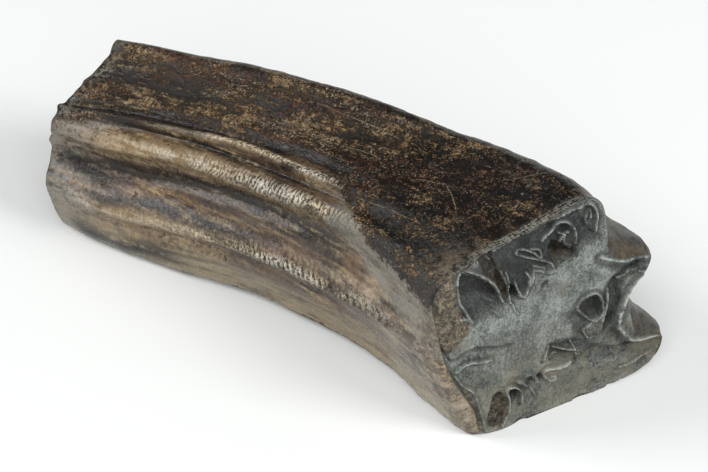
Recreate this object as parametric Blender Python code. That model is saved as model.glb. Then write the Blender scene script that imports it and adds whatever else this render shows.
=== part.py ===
"""Fossil upper cheek tooth of a horse, lying on its front (mesial) face.

The long crown runs along X: the broken root end is at -X and the chewing face at +X.
The cheek side, with its three styles, faces +Y. The tongue side, with its rounded
columns, faces -Y. The origin is on the surface that the tooth lies on, below the
middle of its bounding box. The tables are in millimetres and the mesh is in metres.
"""
import bpy
import numpy as np

MM = 0.001

# The chewing face: a point on its lower edge, and the way that it faces.
FACE_FOOT = (30.1, -3.0, 0.0)
FACE_HEADING = 31.0      # degrees from +X towards -Y
FACE_TILT = 5.0          # degrees that it looks up
FACE_CENTRE = (0.0, 10.0)

# The root end: its place, its slant and how far its middle stands out.
ROOT_X = -35.2
ROOT_SKEW = 0.13
ROOT_BULGE = 1.6
ROOT_MIDDLE_UP = 9.0
ROOT_HALF_HEIGHT = 11.0
ROOT_CENTRE = (3.0, 10.0)
ROOT_RAGGED = 0.14

# The outline, clockwise as seen from the chewing end. Each landmark has its place on
# the chewing face (across, up), its place at the root end (across, up), and how far the
# broken root end reaches there.
OUTLINE = (
    (-12.8, 24.4, -3.6, 19.0, 0.0),   # hypocone, back corner
    (-10.6, 25.2, -2.2, 19.6, -0.6),
    (-7.8, 26.2, -0.7, 20.0, -0.4),   # mouth of the hypocone groove
    (-4.4, 26.6, 0.7, 20.4, -0.5),
    (-0.8, 27.3, 2.3, 20.9, -0.6),
    (2.6, 28.1, 4.0, 21.6, -0.4),
    (5.2, 28.5, 5.5, 22.7, 0.2),
    (6.9, 27.3, 6.7, 21.8, 0.0),      # metastyle
    (7.6, 24.6, 6.9, 19.6, -0.1),
    (7.8, 21.8, 6.7, 18.0, -0.2),
    (8.0, 20.0, 6.9, 16.6, -0.2),
    (9.4, 18.1, 8.0, 15.3, -0.6),
    (11.8, 17.6, 9.4, 14.7, -0.1),
    (13.5, 17.1, 10.4, 13.6, 0.3),    # mesostyle
    (13.0, 15.1, 10.0, 12.2, 0.6),
    (11.3, 13.6, 9.2, 10.9, 0.0),
    (10.6, 11.4, 8.9, 9.3, 0.2),
    (11.0, 8.6, 9.2, 7.6, 0.0),
    (11.8, 6.1, 10.0, 6.1, -0.1),
    (13.6, 5.4, 11.2, 5.2, -0.8),
    (15.1, 4.6, 11.9, 3.8, -0.2),     # parastyle
    (14.6, 2.4, 11.4, 1.9, 0.1),
    (12.4, 0.9, 9.8, 0.4, 0.4),
    (9.0, 0.2, 7.4, 0.0, 0.0),
    (3.5, 0.0, 4.0, 0.0, 0.5),
    (-2.5, 0.0, 0.4, 0.0, 0.2),
    (-7.0, 0.0, -2.8, 0.0, -0.1),
    (-9.3, 0.8, -4.6, 1.0, -0.9),     # protocone, front corner
    (-10.1, 4.0, -5.4, 3.8, -0.4),
    (-11.8, 7.6, -5.6, 7.0, -0.5),
    (-13.2, 11.0, -5.5, 9.6, -0.8),   # protocone, back edge
    (-14.1, 14.2, -5.2, 12.0, -0.4),
    (-14.7, 17.6, -4.9, 14.0, -0.2),
    (-15.2, 20.8, -4.7, 16.0, -0.5),
    (-14.4, 23.4, -4.3, 17.8, -0.2),
)
TURN = len(OUTLINE)
FACE_WIDTH = 15.0        # half the face, from its middle to either side
FACE_HEIGHT = 28.0

# How the crown curves: the heading of its long lines at both ends, in degrees.
ROOT_HEADING = 2.0
ROOT_HEADING_TOP = 5.0       # more along the top
CROWN_HEADING = -27.0
CROWN_HEADING_TONGUE = 22.0  # less on the tongue side
CROWN_HEADING_FLARE = -36.0  # more at the top of the tongue side
CROWN_HEADING_STYLE = -12.0  # more along the styles
ROOT_PULL = 1.1
CROWN_PULL = 0.75
CROWN_PULL_STYLE = -0.15
STYLE_FROM = 5.0
STYLE_OVER = 9.0

# Long ridges and grooves of the side: half width in landmarks, how blunt the top is, then
# the path as places (along, around, height). Along runs from the root end (0) to the
# chewing edge (1), and around is counted in landmarks of the outline.
SIDE_FORMS = (
    # the groove under the broad upper side, and the narrow ridge below it
    (0.50, 2.0, ((0.0, 35.3, -0.5), (0.11, 35.8, -0.5), (0.23, 36.1, -0.4), (0.39, 36.5, -0.4),
                 (0.56, 36.7, -0.3), (0.66, 36.4, 0.0))),
    (0.48, 2.6, ((0.05, 34.9, 0.0), (0.22, 35.2, 0.5), (0.36, 35.6, 0.8), (0.50, 35.6, 0.8),
                 (0.62, 35.8, 0.4), (0.75, 36.2, 0.0))),
    # the upper crest, the valley and the lower crest
    (0.72, 3.0, ((0.0, 33.3, 0.9), (0.10, 33.0, 1.3), (0.27, 33.7, 1.4), (0.47, 33.8, 1.4),
                 (0.64, 34.0, 0.8), (0.80, 34.2, 0.2), (0.90, 34.3, 0.0))),
    (0.75, 2.0, ((0.0, 31.0, -0.8), (0.18, 31.1, -1.4), (0.38, 32.1, -1.3), (0.58, 32.9, -0.9),
                 (0.77, 32.7, -0.6), (1.0, 32.0, -0.2))),
    (0.66, 3.0, ((0.0, 29.6, 0.7), (0.11, 29.2, 1.1), (0.35, 30.0, 1.2), (0.52, 30.5, 1.3),
                 (0.75, 31.0, 1.2), (0.88, 31.0, 0.4), (0.96, 30.9, 0.0))),
    (0.42, 2.0, ((0.0, 28.1, -0.2), (0.22, 28.8, -0.5), (0.57, 29.5, -0.5), (0.75, 28.6, 0.0))),
    # the lower body: full at the root, waisted in the middle and flared at the crown
    (2.0, 2.0, ((0.0, 27.5, 0.2), (0.06, 27.6, 0.9), (0.14, 27.8, 1.0), (0.25, 28.0, 0.4),
                (0.40, 28.5, -0.7), (0.60, 28.6, -1.0), (0.72, 28.4, -0.6), (0.82, 28.3, 0.4),
                (0.93, 28.3, 1.4), (1.0, 28.2, 1.2))),
    (1.3, 2.0, ((0.25, 27.0, 0.0), (0.38, 27.0, -0.8), (0.60, 27.0, -1.1), (0.72, 27.2, -0.6),
                (0.82, 27.3, 0.0))),
    # the far upper edge: full towards the root, flat towards the crown
    (2.2, 2.0, ((0.0, 5.0, 0.3), (0.10, 5.0, 0.3), (0.30, 5.0, 0.9), (0.45, 5.2, 0.3), (0.62, 5.4, -0.9),
                (0.75, 5.6, -0.4), (0.88, 6.2, 0.0), (1.0, 6.4, -0.3))),
    # the cheek side swells between its pillars
    (1.9, 2.0, ((0.5, 10.0, 0.0), (0.8, 10.4, 1.5), (0.95, 10.6, 1.9), (1.0, 10.6, 0.8))),
    (1.9, 2.0, ((0.5, 16.5, 0.0), (0.8, 17.4, 1.5), (0.95, 17.8, 1.8), (1.0, 17.8, 0.7))),
)

# The rounding of the chewing edge: its radius at places around, in landmarks.
RIM_RADIUS = ((0.0, 1.3), (1.5, 0.7), (6.0, 0.5), (9.0, 0.4), (21.0, 0.4), (24.0, 0.25), (26.0, 0.25),
              (27.5, 1.3), (30.5, 1.3), (33.0, 2.0), (35.0, 1.3))
CORNER_CUT = 0.41        # how far a rounded square corner is cut back, in radii
CROWN_LENGTH = 72.0

# Hollows of the chewing face: depth and closed loop across and up the face.
FACE_HOLLOWS = (
    # postfossette, with the matrix-filled hollow below it
    (1.1, ((0.7, 25.2), (1.4, 26.0), (2.4, 25.6), (3.0, 24.6), (2.6, 23.4), (1.6, 22.8), (0.6, 23.6))),
    (1.6, ((0.4, 23.4), (1.5, 23.3), (2.8, 22.6), (3.8, 21.5), (3.5, 20.6), (2.3, 20.6), (1.1, 20.8),
           (0.3, 22.0))),
    # hypocone lake and hypocone groove
    (0.9, ((-10.0, 24.0), (-7.6, 21.8), (-6.8, 19.4), (-8.6, 19.8), (-11.0, 21.0), (-11.3, 23.8))),
    (1.2, ((-9.3, 27.2), (-7.5, 27.3), (-6.7, 24.4), (-5.4, 21.4), (-5.1, 18.6), (-6.2, 18.7), (-7.0, 21.3),
           (-8.6, 23.6))),
    (0.9, ((-5.1, 20.2), (-4.2, 19.6), (-4.0, 18.2), (-5.1, 18.0))),
    # prefossette
    (1.3, ((3.6, 14.0), (4.9, 15.0), (6.1, 14.6), (6.8, 13.0), (6.6, 11.3), (5.8, 11.0), (4.6, 11.9))),
    # the trough behind the cheek-side edge
    (0.9, ((12.0, 16.7), (10.2, 16.6), (8.6, 16.1), (7.8, 14.6), (7.7, 11.4), (6.9, 8.4), (7.6, 7.8),
           (8.8, 10.2), (9.6, 12.0), (9.6, 13.6), (10.4, 15.0), (11.9, 15.6))),
    # front groove and the cell beside it
    (1.2, ((-7.3, 5.4), (-8.1, 3.7), (-8.5, 1.6), (-7.4, 0.6), (-6.4, 1.1), (-5.9, 2.4), (-5.8, 4.0),
           (-6.3, 5.4))),
    (0.9, ((-5.3, 5.2), (-4.3, 5.2), (-3.9, 4.2), (-4.5, 3.4), (-5.3, 3.9))),
    # middle of the face
    (0.6, ((0.0, 8.8), (1.8, 8.0), (3.1, 7.0), (1.6, 6.6), (-0.2, 7.0))),
    (0.6, ((-3.2, 6.2), (-2.2, 6.1), (-1.0, 5.6), (-1.6, 4.9), (-2.8, 4.8))),
    (0.5, ((-1.3, 19.3), (-0.2, 19.4), (0.0, 18.4), (-1.2, 18.2))),
)
VALLEY = (0.7, 0.55, ((-14.6, 14.4), (-13.2, 13.1), (-12.3, 12.8), (-10.3, 13.3), (-8.1, 12.7), (-6.5, 12.0),
                      (-4.9, 11.8)))
HOLLOW_SLOPE = 1.7       # how far the wall of a hollow spreads
ENAMEL_HEIGHT = 0.30     # the enamel edge around each hollow
ENAMEL_PLACE = 1.1
ENAMEL_WIDTH = 0.6

# Broad basins worn into the dentine: depth and closed loop.
FACE_BASINS = (
    (0.50, ((-11.5, 24.2), (-8.9, 23.4), (-6.6, 18.6), (-7.2, 17.6), (-9.7, 18.8), (-11.6, 21.0))),
    (0.35, ((-7.1, 26.3), (-1.2, 27.2), (4.7, 27.3), (5.3, 26.2), (3.4, 25.2), (-0.5, 24.4), (-4.4, 24.9),
            (-6.6, 22.6))),
    (0.45, ((0.0, 24.4), (3.3, 23.0), (3.3, 19.2), (0.0, 20.6))),
    (0.40, ((3.6, 15.0), (6.8, 14.4), (7.0, 10.6), (4.4, 11.4))),
    (0.45, ((7.7, 14.3), (9.6, 13.4), (9.8, 5.8), (8.0, 6.3))),
    (0.30, ((-0.8, 11.0), (3.1, 9.7), (3.1, 6.0), (-0.9, 7.5))),
    (0.35, ((-6.1, 6.0), (-3.9, 5.1), (-3.9, 1.2), (-6.2, 2.0))),
)
BASIN_SLOPE = 1.8

# Pulp cavities of the root end: (depth, half width, path across and up).
ROOT_HOLLOWS = (
    (2.2, 1.10, ((-1.6, 13.6), (0.6, 15.6))),
    (1.9, 1.00, ((5.2, 16.6), (6.0, 13.8))),
    (2.0, 1.00, ((-2.4, 6.4), (-1.2, 3.8))),
    (1.8, 1.00, ((7.2, 8.6), (7.8, 5.0))),
)
ROOT_RELIEF = 0.35

# Mesh density. The root end is a square grid of ROOT_CELLS cells a side, the side wall
# has four times as many columns, and the chewing face is a grid twice as fine.
ROOT_CELLS = 24
SIDE_ROWS = 18           # up to CLOSE_FROM along the crown, then at CLOSE_ROWS
CLOSE_FROM = 0.90
CLOSE_ROWS = (0.94, 0.97, 1.0)
FORM_FADE = 3            # the long forms fade out over a third of the close rows
CURVE_STEPS = 16

TOOTH_COLOUR = (0.060, 0.046, 0.036, 1.0)
TOOTH_ROUGHNESS = 0.45


def clear_scene():
    for item in list(bpy.data.objects):
        bpy.data.objects.remove(item, do_unlink=True)


def closed_curve(points, steps):
    """Catmull-Rom curve through closed control points, with its landmark count."""
    before = np.roll(points, 1, axis=0)[:, None, :]
    start = points[:, None, :]
    end = np.roll(points, -1, axis=0)[:, None, :]
    after = np.roll(points, -2, axis=0)[:, None, :]
    t = (np.arange(steps) / steps)[None, :, None]
    curve = 0.5 * (2 * start + (end - before) * t
                   + (2 * before - 5 * start + 4 * end - after) * t ** 2
                   + (3 * start - before - 3 * end + after) * t ** 3)
    around = np.arange(len(points) * steps) / steps
    return curve.reshape(-1, points.shape[1]), around


def even_outline(count):
    """The outline at count places, an equal length of chewing edge apart."""
    curve, around = closed_curve(np.array(OUTLINE), CURVE_STEPS)
    curve = np.vstack([curve, curve[:1]])
    around = np.append(around, TURN)
    length = np.concatenate([[0.0], np.cumsum(np.hypot(*np.diff(curve[:, :2], axis=0).T))])
    places = np.arange(count) / count * length[-1]
    columns = [np.interp(places, length, curve[:, k]) for k in range(5)]
    return np.stack(columns, axis=1), np.interp(places, length, around)


def face_frame():
    """The chewing face's outward normal and its across and up directions."""
    heading = np.radians(FACE_HEADING)
    tilt = np.radians(FACE_TILT)
    normal = np.array([np.cos(heading) * np.cos(tilt), -np.sin(heading) * np.cos(tilt), np.sin(tilt)])
    across = np.array([np.sin(heading), np.cos(heading), 0.0])
    return normal, across, np.cross(normal, across)


def on_face(across, up):
    """Points of the chewing plane, from millimetres across and up the face."""
    _, across_axis, up_axis = face_frame()
    return np.array(FACE_FOOT) + across[..., None] * across_axis + up[..., None] * up_axis


def root_end(across, up, reach, around):
    """Points of the root end: a slanted plane, bulging by a parabola of the height,
    with each landmark's own reach and a finely ragged edge."""
    bulge = ROOT_BULGE * (1 - ((up - ROOT_MIDDLE_UP) / ROOT_HALF_HEIGHT) ** 2)
    turn = around / TURN * 2 * np.pi
    ragged = np.sin(9 * turn) * np.sin(14 * turn + 1.0) + 0.5 * np.sin(31 * turn) * np.sin(5 * turn + 2.0)
    x = ROOT_X + ROOT_SKEW * across - bulge - reach + ROOT_RAGGED * ragged
    return np.stack([x, across, up], axis=-1)


def heading_vectors(degrees, length, rise):
    angle = np.radians(degrees)
    return np.stack([np.cos(angle) * length, np.sin(angle) * length, rise], axis=-1)


def side_wall(outline, around, along):
    """Long lines from the root outline to the chewing edge, each one a cubic Hermite
    curve whose end headings bend the crown, at every place along."""
    across, up = outline[:, 0], outline[:, 1]
    crown = on_face(across, up)
    root = root_end(outline[:, 2], outline[:, 3], outline[:, 4], around)
    length = np.linalg.norm(crown - root, axis=1)
    rise = crown[:, 2] - root[:, 2]
    tongue = np.clip(-across / FACE_WIDTH, 0, 1)
    style = np.clip((across - STYLE_FROM) / STYLE_OVER, 0, 1)
    height = np.clip(up / FACE_HEIGHT, 0, 1)
    root_heading = ROOT_HEADING + ROOT_HEADING_TOP * height
    crown_heading = (CROWN_HEADING + CROWN_HEADING_TONGUE * tongue
                     + CROWN_HEADING_FLARE * tongue * height + CROWN_HEADING_STYLE * style)
    leave = heading_vectors(root_heading, length, rise) * ROOT_PULL
    arrive = heading_vectors(crown_heading, length, rise)
    arrive = arrive * (CROWN_PULL + CROWN_PULL_STYLE * style)[:, None]
    t = along[:, None, None]
    return ((2 * t ** 3 - 3 * t ** 2 + 1) * root + (t ** 3 - 2 * t ** 2 + t) * leave
            + (3 * t ** 2 - 2 * t ** 3) * crown + (t ** 3 - t ** 2) * arrive)


def wall_normals(wall):
    """Outward normals of a wall of rows and closed columns."""
    lengthwise = np.gradient(wall, axis=0)
    sideways = np.roll(wall, -1, axis=1) - np.roll(wall, 1, axis=1)
    normal = np.cross(lengthwise, sideways)
    return normal / np.linalg.norm(normal, axis=2, keepdims=True)


def side_relief(along, around):
    """Height of the long ridges and grooves over the smooth wall: bell curves across
    each path, whose height changes along it."""
    relief = np.zeros((len(along), len(around)))
    for half_width, blunt, path in SIDE_FORMS:
        places, centres, heights = np.array(path).T
        centre = np.interp(along, places, centres)[:, None]
        height = np.interp(along, places, heights)[:, None]
        apart = (around[None, :] - centre + TURN / 2) % TURN - TURN / 2
        relief += height * np.exp(-np.abs(apart / half_width) ** blunt)
    return relief


def edge_rounding(distance, around):
    """How far the corner between wall and face is cut back, at a distance from it: the
    rounding of a square corner falls off by the square of the distance in radii."""
    places, radii = np.array(RIM_RADIUS).T
    radius = np.interp(around, places, radii)
    return CORNER_CUT * radius * np.clip(1 - distance / radius, 0, 1) ** 2


def rim_directions(ring):
    """Directions out of the face's outline, in the chewing plane."""
    _, across_axis, up_axis = face_frame()
    run = np.roll(ring, -1, axis=0) - np.roll(ring, 1, axis=0)
    run = run / np.linalg.norm(run, axis=1, keepdims=True)
    return run[:, 1:] * -across_axis + run[:, :1] * up_axis


def path_distance(across, up, path):
    """Distance from each point to a path of straight pieces."""
    nearest = np.full(across.shape, np.inf)
    for (x0, y0), (x1, y1) in zip(path[:-1], path[1:]):
        run = np.array([x1 - x0, y1 - y0])
        square = max(run @ run, 1e-9)
        t = np.clip(((across - x0) * run[0] + (up - y0) * run[1]) / square, 0, 1)
        nearest = np.minimum(nearest, np.hypot(across - x0 - t * run[0], up - y0 - t * run[1]))
    return nearest


def smooth_step(value):
    value = np.clip(value, 0, 1)
    return value * value * (3 - 2 * value)


def loop_depth(across, up, loop):
    """How far inside a closed loop each point is: its distance to the loop, negative
    outside. A point is inside where a line from it crosses the loop an odd number of
    times."""
    smooth, _ = closed_curve(np.array(loop), 4)
    ring = np.vstack([smooth, smooth[:1]])
    odd = np.zeros(across.shape, bool)
    for (x0, y0), (x1, y1) in zip(ring[:-1], ring[1:]):
        height = y1 - y0 if y1 != y0 else 1e-9
        odd ^= ((y0 > up) != (y1 > up)) & (across < (x1 - x0) * (up - y0) / height + x0)
    distance = path_distance(across, up, ring)
    return np.where(odd, distance, -distance)


def face_relief(across, up):
    """Hollows of the chewing face, each with its enamel edge standing up around it, the
    basins between them and the valley that comes in from the tongue side."""
    fall = np.zeros(across.shape)
    enamel = np.zeros(across.shape)
    for depth, loop in FACE_HOLLOWS:
        inside = loop_depth(across, up, loop)
        fall = np.maximum(fall, depth * smooth_step(0.5 + inside / HOLLOW_SLOPE))
        enamel = np.maximum(enamel, np.exp(-((inside + ENAMEL_PLACE) / ENAMEL_WIDTH) ** 2))
    basin = np.zeros(across.shape)
    for depth, loop in FACE_BASINS:
        basin = np.maximum(basin, depth * smooth_step(0.5 + loop_depth(across, up, loop) / BASIN_SLOPE))
    depth, half_width, path = VALLEY
    valley = depth * np.exp(-(path_distance(across, up, path) / half_width) ** 2)
    return ENAMEL_HEIGHT * enamel - fall - basin - valley


def root_relief(across, up):
    """The broken end: pulp cavities along their paths, in an uneven break."""
    relief = ROOT_RELIEF * np.sin(1.9 * across + 0.7) * np.sin(1.6 * up + 1.2)
    for depth, half_width, path in ROOT_HOLLOWS:
        relief -= depth * np.exp(-(path_distance(across, up, path) / half_width) ** 3)
    return relief


def square_grid(cells):
    """Places of a square grid: radius from the middle (0 to 1) and way round (0 to 1),
    walking clockwise from the upper left corner."""
    step = np.linspace(-1, 1, cells + 1)
    x, y = np.meshgrid(step, step[::-1])
    radius = np.maximum(abs(x), abs(y))
    safe = np.where(radius > 0, radius, 1)
    a, b = x / safe, y / safe
    way = np.where(b >= 1, (a + 1) / 8, 0.0)
    way = np.where((a >= 1) & (b < 1), 0.25 + (1 - b) / 8, way)
    way = np.where((b <= -1) & (a < 1), 0.5 + (1 - a) / 8, way)
    way = np.where((a <= -1) & (b < 1) & (b > -1), 0.75 + (b + 1) / 8, way)
    return radius, way


def fill_outline(ring, centre, cells):
    """A grid over a closed ring: each point lies on the line from the centre to the
    ring, at the grid's radius."""
    radius, way = square_grid(cells)
    place = way * len(ring)
    low = np.floor(place + 1e-6).astype(int)
    share = np.clip(place - low, 0, 1)[..., None]
    edge = ring[low % len(ring)] * (1 - share) + ring[(low + 1) % len(ring)] * share
    return centre + radius[..., None] * (edge - centre)


def grid_border(index):
    """Vertex numbers around a square grid, clockwise from the upper left corner."""
    return np.concatenate([index[0, :-1], index[:-1, -1], index[-1, :0:-1], index[:0:-1, 0]])


def grid_faces(index):
    """Quads of a grid of vertex numbers, wound clockwise in the grid's own layout."""
    return np.stack([index[:-1, :-1], index[:-1, 1:], index[1:, 1:], index[1:, :-1]], axis=-1).reshape(-1, 4)


def tooth_mesh():
    """The whole closed surface: chewing face, side wall and broken root end."""
    columns = 4 * ROOT_CELLS
    rim_count = 2 * columns
    rim_outline, rim_around = even_outline(rim_count)
    outline, around = even_outline(columns)
    normal, _, _ = face_frame()

    face = fill_outline(rim_outline[:, :2], np.array(FACE_CENTRE), 2 * ROOT_CELLS)
    across, up = face[..., 0], face[..., 1]
    ring = np.vstack([rim_outline[:, :2], rim_outline[:1, :2]])
    ray = np.round(square_grid(2 * ROOT_CELLS)[1] * rim_count).astype(int) % rim_count
    corner = (normal + rim_directions(rim_outline[:, :2]))[ray] / np.sqrt(2)
    cut = edge_rounding(path_distance(across, up, ring), rim_around[ray])[..., None]
    face_points = on_face(across, up) + face_relief(across, up)[..., None] * normal - cut * corner

    along = np.concatenate([np.linspace(0, CLOSE_FROM, SIDE_ROWS), CLOSE_ROWS])
    wall = side_wall(outline, around, along)
    outwards = wall_normals(wall)
    fade = np.clip((1 - along) / (1 - CLOSE_FROM), 0, 1)[:, None]
    cut = edge_rounding((1 - along[:, None]) * CROWN_LENGTH, around[None, :])[..., None]
    relief = (side_relief(along, around) * np.minimum(fade * FORM_FADE, 1))[..., None]
    wall = wall + relief * outwards - cut * (normal + outwards) / np.sqrt(2)
    wall = wall[:-1]

    middle = np.array([ROOT_X - ROOT_BULGE, ROOT_CENTRE[0], ROOT_CENTRE[1]])
    root = fill_outline(wall[0], middle, ROOT_CELLS)
    inner = np.clip(4 * (1 - square_grid(ROOT_CELLS)[0]), 0, 1)
    root[..., 0] -= inner * root_relief(root[..., 1], root[..., 2])

    face_index = np.arange(face_points[..., 0].size).reshape(face_points.shape[:2])
    wall_index = face_index.size + np.arange(wall[..., 0].size).reshape(wall.shape[:2])
    root_index = np.zeros(root.shape[:2], dtype=int)
    inside = np.ones(root_index.shape, dtype=bool)
    inside[[0, -1], :] = False
    inside[:, [0, -1]] = False
    root_index[inside] = wall_index.size + face_index.size + np.arange(inside.sum())
    root_index[0, :-1] = wall_index[0, :ROOT_CELLS]
    root_index[:-1, -1] = wall_index[0, ROOT_CELLS:2 * ROOT_CELLS]
    root_index[-1, :0:-1] = wall_index[0, 2 * ROOT_CELLS:3 * ROOT_CELLS]
    root_index[:0:-1, 0] = wall_index[0, 3 * ROOT_CELLS:]

    points = np.vstack([face_points.reshape(-1, 3), wall.reshape(-1, 3), root[inside]])
    points[:, 2] = np.maximum(points[:, 2], 0)

    closed = np.hstack([wall_index, wall_index[:, :1]])
    quads = np.vstack([grid_faces(face_index)[:, ::-1], grid_faces(closed)[:, ::-1],
                       grid_faces(root_index)])
    rim = grid_border(face_index)
    first, middle_rim, last = rim[0::2], rim[1::2], np.roll(rim[0::2], -1)
    left, right = wall_index[-1], np.roll(wall_index[-1], -1)
    triangles = np.vstack([np.stack([left, first, middle_rim], axis=1),
                           np.stack([left, middle_rim, right], axis=1),
                           np.stack([right, middle_rim, last], axis=1)])
    return points, quads.tolist() + triangles.tolist()


def fossil_material():
    material = bpy.data.materials.new("fossil_tooth")
    material.use_nodes = True
    shader = material.node_tree.nodes["Principled BSDF"]
    shader.inputs["Base Color"].default_value = TOOTH_COLOUR
    shader.inputs["Roughness"].default_value = TOOTH_ROUGHNESS
    shader.inputs["Metallic"].default_value = 0.0
    return material


def build_tooth():
    points, faces = tooth_mesh()
    mesh = bpy.data.meshes.new("fossil_tooth")
    mesh.from_pydata((points * MM).tolist(), [], faces)
    mesh.validate()
    mesh.shade_smooth()
    mesh.set_sharp_from_angle(angle=np.radians(50))
    mesh.materials.append(fossil_material())
    tooth = bpy.data.objects.new("fossil_tooth", mesh)
    bpy.context.scene.collection.objects.link(tooth)
    return tooth


clear_scene()
build_tooth()
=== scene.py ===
"""The finish of the fossil horse tooth: its fine surface, its minerals and the studio.

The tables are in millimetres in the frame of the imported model: the long crown runs
along X with the chewing face at +X, the cheek side at +Y and the tongue side at -Y.
"along" is the place on the crown from the root end (0) to the chewing edge (1), and
"around" counts the landmarks of OUTLINE, clockwise as seen from the chewing end.
"""
import itertools

import bpy
import numpy as np
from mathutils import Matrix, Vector


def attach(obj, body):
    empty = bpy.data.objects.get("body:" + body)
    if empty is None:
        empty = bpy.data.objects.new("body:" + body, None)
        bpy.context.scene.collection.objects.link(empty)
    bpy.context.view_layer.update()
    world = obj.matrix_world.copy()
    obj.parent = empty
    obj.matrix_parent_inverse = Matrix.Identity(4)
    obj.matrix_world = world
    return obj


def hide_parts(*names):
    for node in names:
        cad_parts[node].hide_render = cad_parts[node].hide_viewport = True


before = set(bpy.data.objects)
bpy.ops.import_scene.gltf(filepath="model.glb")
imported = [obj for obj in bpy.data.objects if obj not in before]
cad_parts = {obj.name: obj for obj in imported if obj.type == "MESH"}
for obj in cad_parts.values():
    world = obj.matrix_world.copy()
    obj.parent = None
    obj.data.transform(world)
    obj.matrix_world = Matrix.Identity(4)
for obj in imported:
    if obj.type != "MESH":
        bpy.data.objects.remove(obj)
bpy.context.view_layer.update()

MM = 0.001
FULL_TURN = 6.2832

# ---- the crown's form, as in the solid ----
FACE_FOOT = (30.1, -3.0, 0.0)  # where (0, 0) of the chewing face is
FACE_HEADING = 31.0      # degrees that the face is turned, and tilted up
FACE_TILT = 5.0
FACE_CENTRE = (0.0, 10.0)  # the middle of its grid, across and up
ROOT_X = -35.2           # the root end: its place, slant and bulge
ROOT_SKEW = 0.13
ROOT_BULGE = 1.6
ROOT_MIDDLE_UP = 9.0
ROOT_HALF_HEIGHT = 11.0
ROOT_CENTRE = (3.0, 10.0)
ROOT_RAGGED = 0.14       # height of its broken edge's teeth

# Clockwise from the hypocone: across and up the chewing face, across and up the root
# end, and how far the broken root end reaches there.
OUTLINE = (
    (-12.8, 24.4, -3.6, 19, 0), (-10.6, 25.2, -2.2, 19.6, -0.6), (-7.8, 26.2, -0.7, 20, -0.4),
    (-4.4, 26.6, 0.7, 20.4, -0.5), (-0.8, 27.3, 2.3, 20.9, -0.6), (2.6, 28.1, 4, 21.6, -0.4),
    (5.2, 28.5, 5.5, 22.7, 0.2), (6.9, 27.3, 6.7, 21.8, 0), (7.6, 24.6, 6.9, 19.6, -0.1),
    (7.8, 21.8, 6.7, 18, -0.2), (8, 20, 6.9, 16.6, -0.2), (9.4, 18.1, 8, 15.3, -0.6),
    (11.8, 17.6, 9.4, 14.7, -0.1), (13.5, 17.1, 10.4, 13.6, 0.3), (13, 15.1, 10, 12.2, 0.6),
    (11.3, 13.6, 9.2, 10.9, 0), (10.6, 11.4, 8.9, 9.3, 0.2), (11, 8.6, 9.2, 7.6, 0),
    (11.8, 6.1, 10, 6.1, -0.1), (13.6, 5.4, 11.2, 5.2, -0.8), (15.1, 4.6, 11.9, 3.8, -0.2),
    (14.6, 2.4, 11.4, 1.9, 0.1), (12.4, 0.9, 9.8, 0.4, 0.4), (9, 0.2, 7.4, 0, 0),
    (3.5, 0, 4, 0, 0.5), (-2.5, 0, 0.4, 0, 0.2), (-7, 0, -2.8, 0, -0.1),
    (-9.3, 0.8, -4.6, 1, -0.9), (-10.1, 4, -5.4, 3.8, -0.4), (-11.8, 7.6, -5.6, 7, -0.5),
    (-13.2, 11, -5.5, 9.6, -0.8), (-14.1, 14.2, -5.2, 12, -0.4), (-14.7, 17.6, -4.9, 14, -0.2),
    (-15.2, 20.8, -4.7, 16, -0.5), (-14.4, 23.4, -4.3, 17.8, -0.2),
)
TURN = len(OUTLINE)
FACE_WIDTH = 15.0        # of its tongue half
FACE_HEIGHT = 28.0
# Degrees from X that the long lines leave the root and reach the face at, with what is
# added on the tongue side, near the top and at the style; and how strongly they do.
ROOT_HEADING = 2.0
ROOT_HEADING_TOP = 5.0
CROWN_HEADING = -27.0
CROWN_HEADING_TONGUE = 22.0
CROWN_HEADING_FLARE = -36.0
CROWN_HEADING_STYLE = -12.0
ROOT_PULL = 1.1
CROWN_PULL = 0.75
CROWN_PULL_STYLE = -0.15
STYLE_FROM = 5.0         # the style's side of the face, across
STYLE_OVER = 9.0
CROWN_LENGTH = 72.0

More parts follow.
